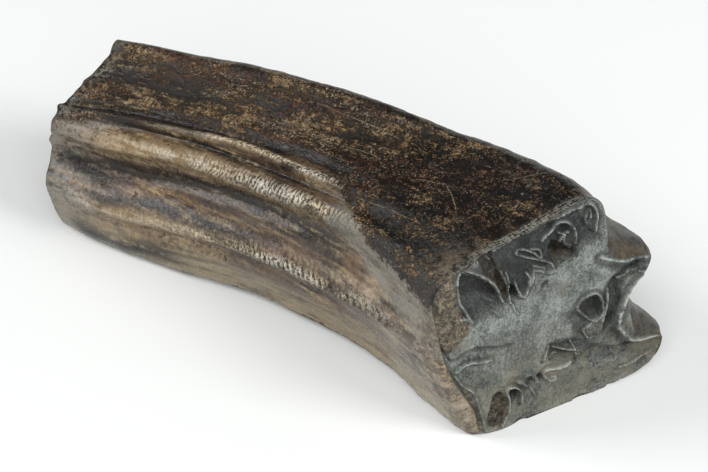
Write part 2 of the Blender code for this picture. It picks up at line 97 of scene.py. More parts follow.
# Long ridges and grooves: half width in landmarks, how blunt the top is, then the path as
# places (along, around, height).
SIDE_FORMS = (
    # the groove under the broad upper side, and the narrow ridge below it
    (0.34, 2, ((0, 35.2, -0.5), (0.11, 35.7, -0.6), (0.23, 36, -0.5), (0.39, 36.4, -0.4),
     (0.56, 36.6, -0.3), (0.66, 36.2, 0))),
    (0.4, 2.6, ((0.05, 34.9, 0), (0.22, 35.2, 0.5), (0.36, 35.7, 0.8), (0.5, 35.6, 0.8),
     (0.62, 35.9, 0.5), (0.74, 36.2, 0.2), (0.86, 36.4, 0))),
    (0.32, 2, ((0.1, 34.1, 0), (0.2, 34.3, -0.5), (0.45, 34.9, -0.6), (0.6, 35, -0.3),
     (0.8, 35.1, 0))),
    # the upper crest, the valley and the lower crest
    (0.72, 3, ((0, 33.3, 0.9), (0.1, 33, 1.3), (0.27, 33.7, 1.4), (0.47, 33.8, 1.4),
     (0.64, 34, 0.8), (0.8, 34.2, 0.2), (0.9, 34.3, 0))),
    (0.75, 2, ((0, 31, -0.8), (0.18, 31.1, -1.4), (0.38, 32.1, -1.3), (0.58, 32.9, -0.9),
     (0.77, 32.7, -0.6), (1, 32, -0.2))),
    (0.24, 2, ((0.15, 30.6, 0), (0.31, 31.4, 0.4), (0.52, 32, 0.4), (0.62, 32.2, 0))),
    (0.66, 3, ((0, 29.6, 0.7), (0.11, 29.2, 1.1), (0.35, 30, 1.2), (0.52, 30.5, 1.3),
     (0.75, 31, 1.2), (0.88, 31, 0.4), (0.96, 30.9, 0))),
    (0.42, 2, ((0, 28.1, -0.2), (0.22, 28.8, -0.5), (0.57, 29.5, -0.5), (0.75, 28.6, 0))),
    # the lower body: full at the root, waisted in the middle and flared at the crown
    (2, 2, ((0, 27.5, 0.2), (0.06, 27.6, 0.9), (0.14, 27.8, 1), (0.25, 28, 0.4),
     (0.4, 28.5, -0.7), (0.6, 28.6, -1), (0.72, 28.4, -0.6), (0.82, 28.3, 0.4), (0.93, 28.3, 1.4),
     (1, 28.2, 1.2))),
    (1.3, 2, ((0.25, 27, 0), (0.38, 27, -0.8), (0.6, 27, -1.1), (0.72, 27.2, -0.6),
     (0.82, 27.3, 0))),
    # the far upper edge: full towards the root, flat towards the crown
    (2.2, 2, ((0, 5, 0.3), (0.1, 5, 0.3), (0.3, 5, 0.9), (0.45, 5.2, 0.3), (0.62, 5.4, -0.9),
     (0.75, 5.6, -0.4), (0.88, 6.2, 0), (1, 6.4, -0.3))),
    # the cheek side swells between its pillars
    (1.9, 2, ((0.5, 10, 0), (0.8, 10.4, 1.5), (0.95, 10.6, 1.9), (1, 10.6, 0.8))),
    (1.9, 2, ((0.5, 16.5, 0), (0.8, 17.4, 1.5), (0.95, 17.8, 1.8), (1, 17.8, 0.7))),
)
UPPER_CREST = ((0, 33.3), (0.1, 33), (0.27, 33.7), (0.47, 33.8), (0.64, 34), (0.8, 34.2))
LOWER_CREST = ((0, 29.6), (0.11, 29.2), (0.35, 30), (0.52, 30.5), (0.75, 31), (0.88, 31))

# Rows of scaly wrinkles on the two crests: path, first and last place along, first and
# last pitch, half width in landmarks, and height of the ones large enough to be raised.
WRINKLES = (
    (UPPER_CREST, 0.26, 0.7, 0.5, 0.8, 0.48, 0.06),
    (LOWER_CREST, 0.38, 0.86, 0.65, 1.45, 0.42, 0.4),
)
CHEVRON_LEAN = 0.7       # how far they lean back beside the crest, in pitches
CHEVRON_TIP = 0.05       # how blunt the chevrons' tips are
CHEVRON_STRAY = 0.55     # how far they stray
WRINKLES_START = 0.08    # over what length along a row starts, and ends
WRINKLES_END = 0.05
WRINKLE_SKEW = 0.6       # how much steeper one side of a wrinkle is

# Borders of the wall's regions, as paths of (along, around).
TOPSIDE_FROM = (
    (0, 33.8), (0.05, 34.1), (0.1, 34.5), (0.17, 35), (0.23, 35.6), (0.31, 35.9), (0.39, 36.3),
    (0.47, 36.5), (0.55, 36.2), (0.6, 35.6), (0.65, 34.9), (0.75, 33.6), (0.88, 33.15), (1, 32.9))
TOPSIDE_TO = ((0, 41.8), (1, 42))
TOPSIDE_SOFT = 1.5       # in landmarks
TONGUE_EDGE = ((0, 26.6), (1, 26.6))
BAND_FROM = (
    (0, 33.4), (0.58, 33.4), (0.67, 33.1), (0.77, 32.15), (0.87, 31.4), (0.97, 30.7), (1, 30.5))
BAND_SOFT = 0.35         # in landmarks
BAND_START = 0.55        # where along the band starts, and over what length
BAND_OVER = 0.15
SLIM_RIDGE = ((0.05, 34.9), (0.22, 35.2), (0.36, 35.7), (0.5, 35.6), (0.62, 35.9), (0.75, 36.2))
# Strips beside the chewing edge: where along they start, over what length, and their
# middle and half width in landmarks.
HEM = (0.965, 0.012, 3.6, 4.4)
CHALK = (0.86, 0.12, 0.4, 2.4)
ROOT_STAIN = 0.035       # where along the root end's stain stops, and over what length
ROOT_STAIN_OVER = 0.03
# Lengthwise streaks by name: half width in landmarks, first and last place along, path,
# and how softly it starts and ends, unless as STREAK_ENDS says.
STREAK_ENDS = (0.05, 0.08)
STREAKS = {
    # the crests, where highlights are painted pale
    "crest": (
        (0.5, -1, 0.7, UPPER_CREST, 0.2, 0.2),
        (0.42, -1, 0.85, LOWER_CREST, 0.2, 0.1),
        (0.3, 0.2, 0.65, SLIM_RIDGE, 0.2, 0.2),
    ),
    # dark stain and painted shade in the grooves; yellow-brown stain, with a painted golden
    # highlight along the upper crest
    "soot": (
        (0.95, -0.2, 0.3, ((0, 34.75), (0.05, 35), (0.1, 35.4), (0.17, 35.6), (0.25, 35.9))),
        (0.28, 0.1, 0.46, ((0.1, 29.75), (0.17, 30), (0.24, 30.3), (0.35, 30.5), (0.45, 30.9))),
        (0.4, 0.1, 0.58, ((0.12, 34.5), (0.24, 34.7), (0.46, 34.8), (0.6, 34.9))),
        (0.6, 0.02, 0.66, ((0.05, 30.8), (0.107, 31), (0.17, 31.25), (0.23, 31.6), (0.3, 31.95),
         (0.37, 32.2), (0.44, 32.35), (0.52, 32.5))),
        (0.4, 0.04, 0.14, ((0.05, 30.5), (0.12, 30.5))),
        (0.36, 0.02, 0.58, ((0.02, 35), (0.11, 35.5), (0.17, 35.7), (0.23, 35.95), (0.31, 36.15),
         (0.39, 36.4), (0.47, 36.6), (0.58, 36.8))),
        (0.5, 0.04, 0.26, ((0.06, 27.6), (0.137, 27.5), (0.2, 27.8), (0.27, 28))),
        (0.9, 0, 0.24, ((0, 38.4), (0.06, 38.8), (0.12, 38.2), (0.19, 38.4))),
    ),
    "ochre": (
        # the first row runs along the upper crest's highlight: a painted golden highlight
        (0.6, 0.01, 0.36, ((0.05, 33.1), (0.12, 33.1), (0.27, 33.5), (0.4, 33.6))),
        (0.55, 0.01, 0.62, ((0.04, 32.3), (0.09, 32.2), (0.15, 32.4), (0.21, 32.7), (0.27, 32.9),
         (0.6, 33.2))),
        (0.5, 0.01, 0.36, ((0.04, 28.4), (0.15, 28.45), (0.28, 28.8))),
        (0.7, 0, 0.45, ((0, 36.9), (0.2, 37.2), (0.45, 37.6))),
    ),
    # near the chewing edge
    "rust": ((0.5, 0.81, 2, ((0.78, 31.2), (0.88, 30.9), (1, 30.3)), 0.06, 1),),
    "gold": ((0.5, 0.955, 2, ((0.93, 30.4), (1, 29.8)), 0.03, 1),),
}
# Hair cracks on the broad side: from and to, as (along, around).
CRACKS = (
    ((0.31, 37.55), (0.58, 38.25)),
    ((0.4, 39.8), (0.57, 39.6)),
    ((0.48, 37.2), (0.55, 37.18)),
    ((0.69, 38), (0.74, 38.35)),
    ((0.74, 38.35), (0.83, 37.5)),
    ((0.83, 39.8), (0.88, 41)),
    ((0.64, 35.6), (0.77, 36.05)),
)
CRACK_WIDTH = 0.035      # in landmarks
CRACK_TIP = 0.01         # how far its ends reach on, along
LAY_SEAM = 24.0          # the lay's coordinates meet here, in landmarks

# ---- the chewing face ----
# Enamel ridges: height, half width, path across and up the face.
ENAMEL = (
    (0.25, 0.18, ((-7.7, 26.3), (-6, 26.1), (-4.4, 26.5), (-2.3, 27), (0.3, 27.7), (3.9, 27.7))),
    (0.3, 0.2, ((3.9, 27.7), (5.2, 27.9), (6.1, 26.6), (6.3, 25.2), (6.1, 23.6))),
    (0.25, 0.14, ((5.1, 24.7), (4.8, 25.6), (5.3, 26.9), (5.5, 26), (5.2, 24.9))),
    (0.3, 0.24, ((-0.7, 24.7), (0.5, 25.5), (1.3, 26.4), (2.6, 26), (3.6, 24.5), (3.6, 22.7))),
    (0.3, 0.15, ((2.9, 24.4), (2.3, 23.9), (1.8, 23.3))),
    (0.35, 0.13, ((1.7, 24.6), (2.5, 24), (2.2, 23.2), (2.9, 22.8), (2.7, 22.1), (3.3, 21.6))),
    (0.25, 0.14, ((-0.9, 22.3), (-1.8, 23.4), (-3.2, 24.4), (-4, 24.1), (-3.1, 23.4),
     (-1.5, 22.4), (0.3, 21.2), (0.7, 20.6))),
    (0.22, 0.13, ((-2.1, 24), (-0.9, 23.4), (-0.7, 22.2))),
    (0.3, 0.13, ((-1.9, 21.7), (-1.1, 21.2), (-0.4, 20.8))),
    (0.3, 0.14, ((0.7, 20.3), (-0.3, 20.4), (-1.9, 21.1), (-2.4, 19.9), (-3.2, 18.5),
     (-3.9, 18.4))),
    (0.25, 0.15, ((-2.8, 21.1), (-2.5, 20.4), (-2.7, 19.7))),
    (0.25, 0.15, ((-5.3, 22), (-5, 20.2), (-5.2, 18.2))),
    (0.22, 0.15, ((-4.3, 20.6), (-4, 19.4), (-3.7, 18.5))),
    (0.2, 0.15, ((-5.9, 22.4), (-5.5, 21.2), (-5.1, 19.9))),
    (0.35, 0.2, ((-10.2, 17.6), (-11.1, 19.7), (-11.7, 21), (-11.8, 23.9), (-11, 25),
     (-9.7, 24.2), (-8.2, 22.8), (-6.9, 21), (-6.2, 18.8))),
    (0.3, 0.12, ((-11, 24.7), (-9.2, 23.2), (-8, 22.1))),
    (0.15, 0.1, ((-9.2, 25.6), (-8.9, 24.9), (-8.4, 24))),
    (0.15, 0.1, ((-7.5, 24.9), (-7, 24.2))),
    (0.12, 0.1, ((-8.4, 20.1), (-7.9, 19.5), (-7.1, 18.8))),
    (0.12, 0.1, ((-7.4, 17.9), (-6.5, 16.8))),
    (0.12, 0.1, ((-4.9, 17.8), (-4.7, 17), (-4.2, 16.1))),
    (0.18, 0.2, ((-11.6, 18.3), (-10.7, 17.9), (-10, 17.3))),
    (0.3, 0.16, ((3.4, 14.1), (4.9, 15.1), (6.1, 14.8), (7, 12.9), (6.8, 11.3), (5.8, 10.8),
     (4.8, 11.7), (3.7, 13.3), (3.4, 14.1))),
    (0.25, 0.14, ((5.6, 10.6), (4.5, 9.9), (5, 8.6))),
    (0.3, 0.2, ((7.7, 14.5), (7.6, 12), (6.8, 10.5))),
    (0.25, 0.12, ((12.4, 15.4), (11, 15.7), (9.3, 15.1))),
    (0.14, 0.34, ((6.8, 19.5), (8.4, 18.3), (10.1, 17.4), (12.1, 17.2), (13, 16.9))),
    (0.14, 0.38, ((12.4, 14.6), (10.9, 13.6), (10.1, 11.9), (9.3, 9.6), (9.3, 8.2), (10.8, 5.9),
     (12.6, 4.9), (14.6, 4.9))),
    (0.25, 0.12, ((0.5, 9.1), (2.1, 8), (3.3, 7.5))),
    (0.25, 0.12, ((2.6, 9.2), (3.4, 7.7), (3.5, 6.3))),
    (0.2, 0.15, ((-0.2, 9.6), (-0.8, 8.5), (-1, 7.9))),
    (0.15, 0.1, ((0.3, 7.4), (0.7, 7.6), (1.3, 7.5))),
    (0.3, 0.18, ((0.6, 4.8), (-0.4, 4.9), (-1.1, 6), (-0.7, 6.6), (1, 6.1), (2.7, 6.2))),
    (0.2, 0.1, ((-0.1, 5.2), (0.6, 5))),
    (0.3, 0.25, ((-4.3, 6.1), (-3.8, 5.8), (-3.3, 5.2))),
    (0.2, 0.12, ((-3, 5.2), (-2.6, 4.4), (-2, 3.1))),
    (0.3, 0.2, ((-6.6, 0.7), (-5.7, 2.1), (-5.6, 4.1), (-5.9, 5.7), (-4.9, 5.7), (-4, 4.6),
     (-3.9, 3))),
    (0.25, 0.18, ((-8.8, 0.9), (-9.5, 4.1), (-10.2, 7.2), (-11.7, 8.8), (-12.7, 10.7),
     (-11.5, 11.8), (-9.3, 11.5), (-7.8, 11.1))),
    (0.15, 0.08, ((8, 4.4), (8.9, 4.4))),
    (0.15, 0.12, ((14.6, 3.2), (13.6, 2.8), (11.1, 2.7), (9.2, 2.5))),
)

# A ridge's line and its skirt: how sharp the line is, the share of the height that each
# has, how far the skirt spreads, and the place and width of the dark dentine and painted
# shade beside the line, all in half widths.
ENAMEL_SHARPNESS = 1.6
ENAMEL_LINE = 1.5
ENAMEL_SKIRT = 0.6
SKIRT = 2.6
FLANK_PLACE = 2.0
FLANK_WIDTH = 1.2

BASIN_DEPTH = 0.8
BASIN_SLOPE = 1.4        # the width of a basin's slope
# Darker, sunken dentine: share, closed loop.
FACE_SHADES = (
    (1, ((-7.3, 25.9), (-3.5, 26.9), (0.4, 27.2), (4, 27.7), (4.7, 25.8), (6.2, 23.3),
     (4.7, 21.9), (2.5, 20.9), (-0.4, 20.5), (-2.2, 20.9), (-2.9, 18.8), (-5.1, 18.5),
     (-6.5, 23))),
    (0.85, ((-11.7, 24.9), (-10, 24.5), (-7.9, 22.1), (-6.5, 19.5), (-7.3, 17.9), (-9.1, 17.1),
     (-10.9, 18.2), (-11.7, 20.9))),
    (0.6, ((4, 27.7), (6.2, 27.2), (7.1, 24.5), (6.5, 22), (4.7, 23.5))),
    (0.6, ((6.2, 19.7), (9.9, 17.8), (12.8, 17.4), (13.2, 16.4), (11.4, 15.6), (9.5, 16),
     (7.6, 18.4))),
    (0.45, ((3.6, 15), (6.8, 14.4), (7, 10.6), (4.4, 11.4))),
    (0.78, ((8, 15.8), (9.5, 15.6), (8.8, 12.7), (8.6, 9.1), (9.9, 6.5), (8, 6.4), (7.1, 9.7),
     (6.9, 13.5))),
    (0.72, ((-0.1, 9.6), (3.2, 9), (6.9, 6.5), (9.9, 5.6), (14.9, 4.7), (14.9, 2.2), (12.2, 2.5),
     (7.7, 4.5), (4.7, 5), (0.6, 7.2))),
    (0.55, ((2.5, 13.3), (6.2, 10.9), (6.9, 7.8), (3.9, 9), (3.2, 11.4))),
    (0.3, ((-3.8, 7.1), (-1.3, 6.4), (0.2, 3.3), (-1.4, -0.2), (-5.4, 0.4), (-6.9, 1.8),
     (-5.7, 5.5))),
    (0.12, ((-11.6, 14.4), (-4.3, 13.6), (-2.2, 10.6), (-4.4, 7.9), (-8.9, 9.5), (-12, 11.8))),
    (0.35, ((-11.8, 11), (-7.5, 8.7), (-6.1, 5.6), (-7.2, 4.5), (-10.4, 7.5))),
    (0.35, ((0.6, 5.2), (6.9, 3.6), (12.2, 1.7), (11.5, 0.8), (6.9, 0.7), (1.6, 0.5),
     (0.1, 1.6))),
)

# Narrow dark lines and slits: depth, half width, path.
SLITS = (
    (0.4, 0.2, ((-14.2, 14.8), (-13.2, 13.1), (-12.3, 12.8), (-10.3, 13.3), (-8.1, 12.7),
     (-6.5, 12), (-4.9, 11.8))),
    (0.12, 0.08, ((-9, 15.4), (-8.2, 15.5), (-7.8, 15.5))),
    (0.45, 0.14, ((9.9, 5.4), (10.6, 5.1))),
    (0.12, 0.1, ((2.4, 2.9), (3.7, 3.4), (3.9, 4.7))),
    (0.12, 0.1, ((8.8, 3.4), (7.4, 3.7), (5.4, 4.8))),
    (0.9, 0.26, ((-0.8, 18.7), (-0.5, 18.9))),
    (0.9, 0.24, ((3.2, 5.7), (3.4, 5.7))),
    (0.5, 0.2, ((-1, 7.7), (-0.9, 7.6))),
    (0.6, 0.35, ((-2.7, 5.7), (-2.4, 5.2))),
    (0.5, 0.35, ((-1.4, 5.7), (-1.2, 5.4))),
)

CEMENT_PIT = (
    (0.6, 23.2), (1.5, 23.1), (2.6, 22.4), (3.6, 21.4), (3.4, 20.8), (2.3, 20.9), (1.3, 20.8),
    (0.6, 22.1))
# Hollows: depth, width of the slope, closed loop across and up the face.
HOLLOWS = (
    (0.5, 0.5, ((0.7, 25.2), (1.4, 26), (2.4, 25.6), (3, 24.6), (2.4, 23.5), (1.6, 23),
     (0.8, 23.6))),
    (1.5, 0.6, CEMENT_PIT),
    (0.7, 0.55, ((-9.9, 23.8), (-7.4, 21.4), (-6.8, 19.6), (-8.6, 20.6), (-10.9, 21.4),
     (-11.2, 23.6))),
    (1.1, 0.6, ((-9.2, 26.8), (-7.6, 26.9), (-6.9, 24.4), (-5.7, 21.4), (-5.4, 18.8), (-6, 18.9),
     (-6.8, 21.3), (-8.4, 23.6))),
    (0.9, 0.45, ((-4.9, 20), (-4.3, 19.4), (-4.2, 18.4), (-4.9, 18.2))),
    (0.8, 0.6, ((3.8, 13.9), (4.9, 14.8), (5.9, 14.5), (6.6, 13), (6.5, 11.5), (5.8, 11.2),
     (4.8, 12))),
    (0.7, 0.5, ((11.9, 16.5), (10.2, 16.4), (8.8, 15.9), (8.1, 14.6), (8, 11.4), (7.1, 8.6),
     (7.5, 8), (8.6, 10.4), (9.4, 12.2), (9.4, 13.8), (10.2, 15.2), (11.8, 15.8))),
    (0.7, 0.6, ((-7.3, 5.2), (-7.9, 3.7), (-8.3, 1.6), (-7.4, 0.8), (-6.6, 1.2), (-6.1, 2.4),
     (-6, 3.9), (-6.4, 5.2))),
    (0.8, 0.45, ((-5.2, 5), (-4.4, 5), (-4.1, 4.2), (-4.6, 3.6), (-5.2, 4))),
    (0.5, 0.45, ((0.2, 8.6), (1.8, 7.8), (2.9, 7), (1.6, 6.8), (0, 7.2))),
    (0.5, 0.5, ((11.7, 2.2), (12.8, 2.4), (12.9, 1.6), (11.9, 1.4))),
    (0.35, 0.9, ((4, 10), (5, 7.8), (3.2, 8), (3.4, 11))),
)
# The rounding of the chewing edge: its radius at places around, in landmarks.
RIM_RADIUS = (
    (0, 1.3), (1.5, 0.7), (6, 0.5), (9, 0.4), (21, 0.4), (24, 0.25), (26, 0.25), (27.5, 1.3),
    (30.5, 1.3), (33, 2), (35, 1.3))
CORNER_CUT = 0.41        # of a radius: the square root of 2, less 1
# Chips in the chewing edge: their depth, what is added where the tooth lies on the edge
# (from and to, in landmarks), and how fast they die away.
CHIP_DEPTH = 0.12
CHIP_DEPTH_LOW = 0.4
LOW_EDGE = (19.0, 26.5)
LOW_EDGE_SOFT = 1.5
CHIP_REACH = 0.5

# Cement, brown and mottled: closed loops on the face.
CEMENT_SOFT = 0.5
FACE_CEMENT = (
    ((-17, 27), (-9.6, 26.4), (-11.4, 25.3), (-12.1, 24), (-12, 21), (-11.2, 18.9), (-10.4, 16.6),
     (-12.4, 14.6), (-14, 13.6), (-13.3, 10.6), (-12.1, 8.6), (-10.6, 7), (-9.9, 4), (-9.1, 0.8),
     (-9.6, -1), (-17, -1)),
    ((-9.4, 27), (-7.8, 26.9), (-6.9, 24.4), (-5.6, 21.4), (-5.4, 18.8), (-6.2, 18.9), (-7, 21.2),
     (-8.4, 23.4)),
    CEMENT_PIT,
    ((-7.2, 5), (-7.9, 3.7), (-8.3, 1.6), (-7.4, 0.6), (-6.4, 1), (-5.8, 2.4), (-5.8, 4.6),
     (-6.4, 5.4)),
)

# ---- the broken root end ----
# Pulp hollows: depth, half width, path across and up.
ROOT_HOLLOW_BLUNT = 3
ROOT_HOLLOWS = (
    (2.2, 1.1, ((-1.6, 13.6), (0.6, 15.6))),
    (1.9, 1, ((5.2, 16.6), (6, 13.8))),
    (2, 1, ((-2.4, 6.4), (-1.2, 3.8))),
    (1.8, 1, ((7.2, 8.6), (7.8, 5))),
)

# ---- unevenness: height, size of the largest lumps and seed ----
FACE_LUMPS = (0.16, 3.0, 11)
FACE_GRIT = (0.05, 0.8, 15)
WALL_LUMPS = (0.1, 3.5, 21)
WALL_GRIT = (0.05, 0.9, 25)
BREAK_LUMPS = (0.35, 2.4, 31)
CHIP_NOISE = (1.0, 1.3, 51)
LATTICE = 64             # random numbers along each side of a noise's table

# ---- mesh density ----
FACE_CELLS = 200         # along each side of the two ends' square grids
ROOT_CELLS = 68
TONGUE_FROM = 27.4       # the tongue side, in landmarks, where columns are closer
TONGUE_TO = 37.4
TONGUE_DENSITY = 2.2
ROWS_ROOT = 30
ROWS_MIDDLE = 132
ROWS_CROWN = 34
MIDDLE_FROM = 0.33       # the wrinkled middle, along
MIDDLE_TO = 0.85
FORMS_END = 0.03         # over what length the wall's relief fades at the chewing edge
CURVE_STEPS = 16         # of the outline, for each landmark
PATH_STEPS = 6           # of paths and loops on the face, for each point
SLIT_STEPS = 4
TINY = 1e-9

# ---- the studio ----
FLOOR_SIDE = 6.0         # in metres, as is the point that the lights face
LIT_POINT = (0, 0, 0.015)
# Soft square lights: name, place and side in metres, power.
LIGHTS = (
    ("left", (-0.6, -0.32, 0.5), 0.34, 4.6),
    ("right", (0.62, -0.02, 0.52), 0.34, 5.1),
    ("front", (0.3, -0.6, 0.75), 0.8, 7.4),
    ("back", (0.4, 0.6, 0.55), 0.6, 0.8),
)


def smooth_step(value):
    """0 below 0, 1 above 1, and an S-shaped cubic in between."""
    value = np.clip(value, 0, 1)
    return value * value * (3 - 2 * value)


def inside(depth, soft):
    """0 well outside a border and 1 well inside it: a smooth step of the depth, as wide
    as the border is soft."""
    return smooth_step(0.5 + depth / soft)


def bell(distance, half_width=1.0, blunt=2):
    """A bell curve: e to the minus distance in half widths, to the power of 2, or of more
    where its top is blunt."""
    return np.exp(-np.abs(distance / half_width) ** blunt)


def curve_through(points, steps, closed=False):
    """Catmull-Rom curve through control points: each span is a cubic whose end slopes
    are half the way between the neighbours on both sides."""
    points = np.asarray(points, float)
    if closed:
        padded = np.vstack([points[-1:], points, points[:2]])
    else:
        padded = np.vstack([2 * points[0] - points[1], points, 2 * points[-1] - points[-2]])
    spans = len(padded) - 3
    before, start, end, after = (padded[k:k + spans, None, :] for k in range(4))
    t = (np.arange(steps) / steps)[None, :, None]
    curve = 0.5 * (2 * start + (end - before) * t
                   + (2 * before - 5 * start + 4 * end - after) * t ** 2
                   + (3 * start - before - 3 * end + after) * t ** 3)
    curve = curve.reshape(-1, points.shape[1])
    return curve if closed else np.vstack([curve, points[-1:]])


def lumps(points, size, seed):
    """Smooth random field from -1 to 1: random numbers on a cubic lattice of the given
    size, blended by smooth steps between the eight lattice corners round each point."""
    table = np.random.default_rng(seed).uniform(-1, 1, (LATTICE,) * 3)
    place = points / size
    low = np.floor(place).astype(int)
    part = smooth_step(place - low)
    total = np.zeros(points.shape[:-1])
    for corner in itertools.product((0, 1), repeat=3):
        weight = np.prod(np.where(np.array(corner) == 1, part, 1 - part), axis=-1)
        index = (low + corner) % LATTICE
        total += weight * table[index[..., 0], index[..., 1], index[..., 2]]
    return total


def rough(points, height, size, seed, layers=3):
    """Lumps of a height and size with half-size, half-height lumps on them, a few layers
    deep."""
    return height * sum(lumps(points, size / 2 ** k, seed + k) / 2 ** k for k in range(layers))


def path_distance(across, up, path):
    """Distance from each point to a path of straight pieces."""
    nearest = np.full(across.shape, np.inf)
    for (x0, y0), (x1, y1) in zip(path[:-1], path[1:]):
        run = (x1 - x0, y1 - y0)
        square = max(run[0] ** 2 + run[1] ** 2, TINY)
        t = np.clip(((across - x0) * run[0] + (up - y0) * run[1]) / square, 0, 1)
        nearest = np.minimum(nearest, np.hypot(across - x0 - t * run[0], up - y0 - t * run[1]))
    return nearest


def loop_depth(across, up, loop):
    """How far inside a closed loop each point is: its distance to the loop, negative
    outside. A point is inside where a line from it crosses the loop an odd number of
    times."""
    smooth = curve_through(loop, PATH_STEPS, closed=True)
    ring = np.vstack([smooth, smooth[:1]])
    odd = np.zeros(across.shape, bool)
    for (x0, y0), (x1, y1) in zip(ring[:-1], ring[1:]):
        between = (y0 > up) != (y1 > up)
        height = y1 - y0 if y1 != y0 else TINY
        odd ^= between & (across < (x1 - x0) * (up - y0) / height + x0)
    distance = path_distance(across, up, ring)
    return np.where(odd, distance, -distance)


# ---- the crown's wall ----
def even_outline(count):
    """The outline at count places, an equal length of chewing edge apart, and the
    landmark count at each."""
    curve = curve_through(OUTLINE, CURVE_STEPS, closed=True)
    around = np.arange(len(curve) + 1) / CURVE_STEPS
    curve = np.vstack([curve, curve[:1]])
    length = np.concatenate([[0.0], np.cumsum(np.hypot(*np.diff(curve[:, :2], axis=0).T))])
    places = np.arange(count) / count * length[-1]
    columns = [np.interp(places, length, column) for column in curve.T]
    return np.stack(columns, axis=1), np.interp(places, length, around)


def face_frame():
    """The chewing face's outward normal and its across and up directions."""
    heading, tilt = np.radians(FACE_HEADING), np.radians(FACE_TILT)
    level = np.cos(tilt)
    normal = np.array([np.cos(heading) * level, -np.sin(heading) * level, np.sin(tilt)])
    across = np.array([np.sin(heading), np.cos(heading), 0.0])
    return normal, across, np.cross(normal, across)


FACE_NORMAL, FACE_ACROSS, FACE_UP = face_frame()


def on_face(across, up):
    """Points of the chewing plane, from millimetres across and up the face."""
    return np.array(FACE_FOOT) + across[..., None] * FACE_ACROSS + up[..., None] * FACE_UP


def root_end(across, up, reach, around):
    """Points of the root end: a slanted plane, bulging by a parabola of the height,
    with each landmark's own reach and an edge made ragged by products of sines."""
    bulge = ROOT_BULGE * (1 - ((up - ROOT_MIDDLE_UP) / ROOT_HALF_HEIGHT) ** 2)
    turn = around / TURN * 2 * np.pi
    ragged = (np.sin(9 * turn) * np.sin(14 * turn + 1.0)
              + 0.5 * np.sin(31 * turn) * np.sin(5 * turn + 2.0))
    x = ROOT_X + ROOT_SKEW * across - bulge - reach + ROOT_RAGGED * ragged
    return np.stack([x, across, up], axis=-1)


def heading_vectors(degrees, length, rise):
    """Level vectors of a length at an angle from X, lifted by a rise."""
    angle = np.radians(degrees)
    return np.stack([np.cos(angle) * length, np.sin(angle) * length, rise], axis=-1)


def side_wall(outline, around, along):
    """Long lines from the root outline to the chewing edge, each one a cubic Hermite
    curve whose end headings bend the crown, at every place along."""
    across, up = outline[:, 0], outline[:, 1]
    crown = on_face(across, up)
    root = root_end(outline[:, 2], outline[:, 3], outline[:, 4], around)
    length = np.linalg.norm(crown - root, axis=1)
    rise = crown[:, 2] - root[:, 2]
    tongue = np.clip(-across / FACE_WIDTH, 0, 1)
    style = np.clip((across - STYLE_FROM) / STYLE_OVER, 0, 1)
    height = np.clip(up / FACE_HEIGHT, 0, 1)
    root_heading = ROOT_HEADING + ROOT_HEADING_TOP * height
    crown_heading = (CROWN_HEADING + CROWN_HEADING_TONGUE * tongue
                     + CROWN_HEADING_FLARE * tongue * height + CROWN_HEADING_STYLE * style)
    leave = heading_vectors(root_heading, length, rise) * ROOT_PULL
    arrive = heading_vectors(crown_heading, length, rise)
    arrive = arrive * (CROWN_PULL + CROWN_PULL_STYLE * style)[:, None]
    t = along[:, None, None]
    return ((2 * t ** 3 - 3 * t ** 2 + 1) * root + (t ** 3 - 2 * t ** 2 + t) * leave
            + (3 * t ** 2 - 2 * t ** 3) * crown + (t ** 3 - t ** 2) * arrive)


def wall_normals(wall):
    """Outward normals of a wall of rows and closed columns."""
    lengthwise = np.gradient(wall, axis=0)
    sideways = np.roll(wall, -1, axis=1) - np.roll(wall, 1, axis=1)
    normal = np.cross(lengthwise, sideways)
    return normal / np.linalg.norm(normal, axis=2, keepdims=True)


def apart_from(along, around, path):
    """Landmarks between each point of the wall and a path, the short way round."""
    places, centres = np.array(path).T
    centre = np.interp(along, places, centres)[:, None]
    return (around[None, :] - centre + TURN / 2) % TURN - TURN / 2


def window(along, around, low_path, high_path, soft):
    """1 between two paths of the wall and 0 outside them, with soft edges."""
    low = apart_from(along, around, low_path)
    high = apart_from(along, around, high_path)
    return inside(low, soft) * inside(-high, soft)


def long_forms(along, around):
    """Height of the long ridges and grooves: bell curves across each path, whose
    height changes along it."""
    relief = np.zeros((len(along), len(around)))
    for half_width, blunt, path in SIDE_FORMS:
        places, centres, heights = np.array(path).T
        height = np.interp(along, places, heights)
        apart = apart_from(along, around, tuple(zip(places, centres)))
        relief += height[:, None] * bell(apart, half_width, blunt)
    return relief


def crest_wrinkles(along, around):
    """Scaly wrinkles on the two crests. Their count along the crown is the logarithm of
    the length, so that the pitch grows evenly, and it leans back on both sides of the
    crest by a hyperbola, like chevrons. The height is a sine of the count, steeper on
    one side. Gives the raised wrinkles' height, the count, and where they are."""
    relief = np.zeros((len(along), len(around)))
    count = np.zeros(relief.shape)
    scaly = np.zeros(relief.shape)
    for number, (path, first, last, pitch, last_pitch, half_width, height) in enumerate(WRINKLES):
        apart = apart_from(along, around, path) / half_width
        length = (along[:, None] - first) * CROWN_LENGTH
        growth = (last_pitch - pitch) / ((last - first) * CROWN_LENGTH)
        even = np.log(np.maximum(1 + growth * length / pitch, 0.05)) / growth + 0 * apart
        place = np.stack([even, 1.5 * apart, 0 * apart + 7.3 * number], axis=-1)
        lean = CHEVRON_LEAN * np.sqrt(apart ** 2 + CHEVRON_TIP)
        turns = even + lean + CHEVRON_STRAY * lumps(place, size=1.6, seed=40 + number)
        ends = (smooth_step((along - first) / WRINKLES_START)
                * smooth_step((last - along) / WRINKLES_END))
        share = bell(apart) * ends[:, None]
        uneven = 0.75 + 0.5 * lumps(place, size=3.0, seed=50 + number)
        wave = 2 * np.pi * turns
        relief += height * uneven * share * np.sin(wave + WRINKLE_SKEW * np.sin(wave))
        count = np.where(np.abs(apart) < 3, turns, count)
        scaly = np.maximum(scaly, share)
    return relief, count, scaly


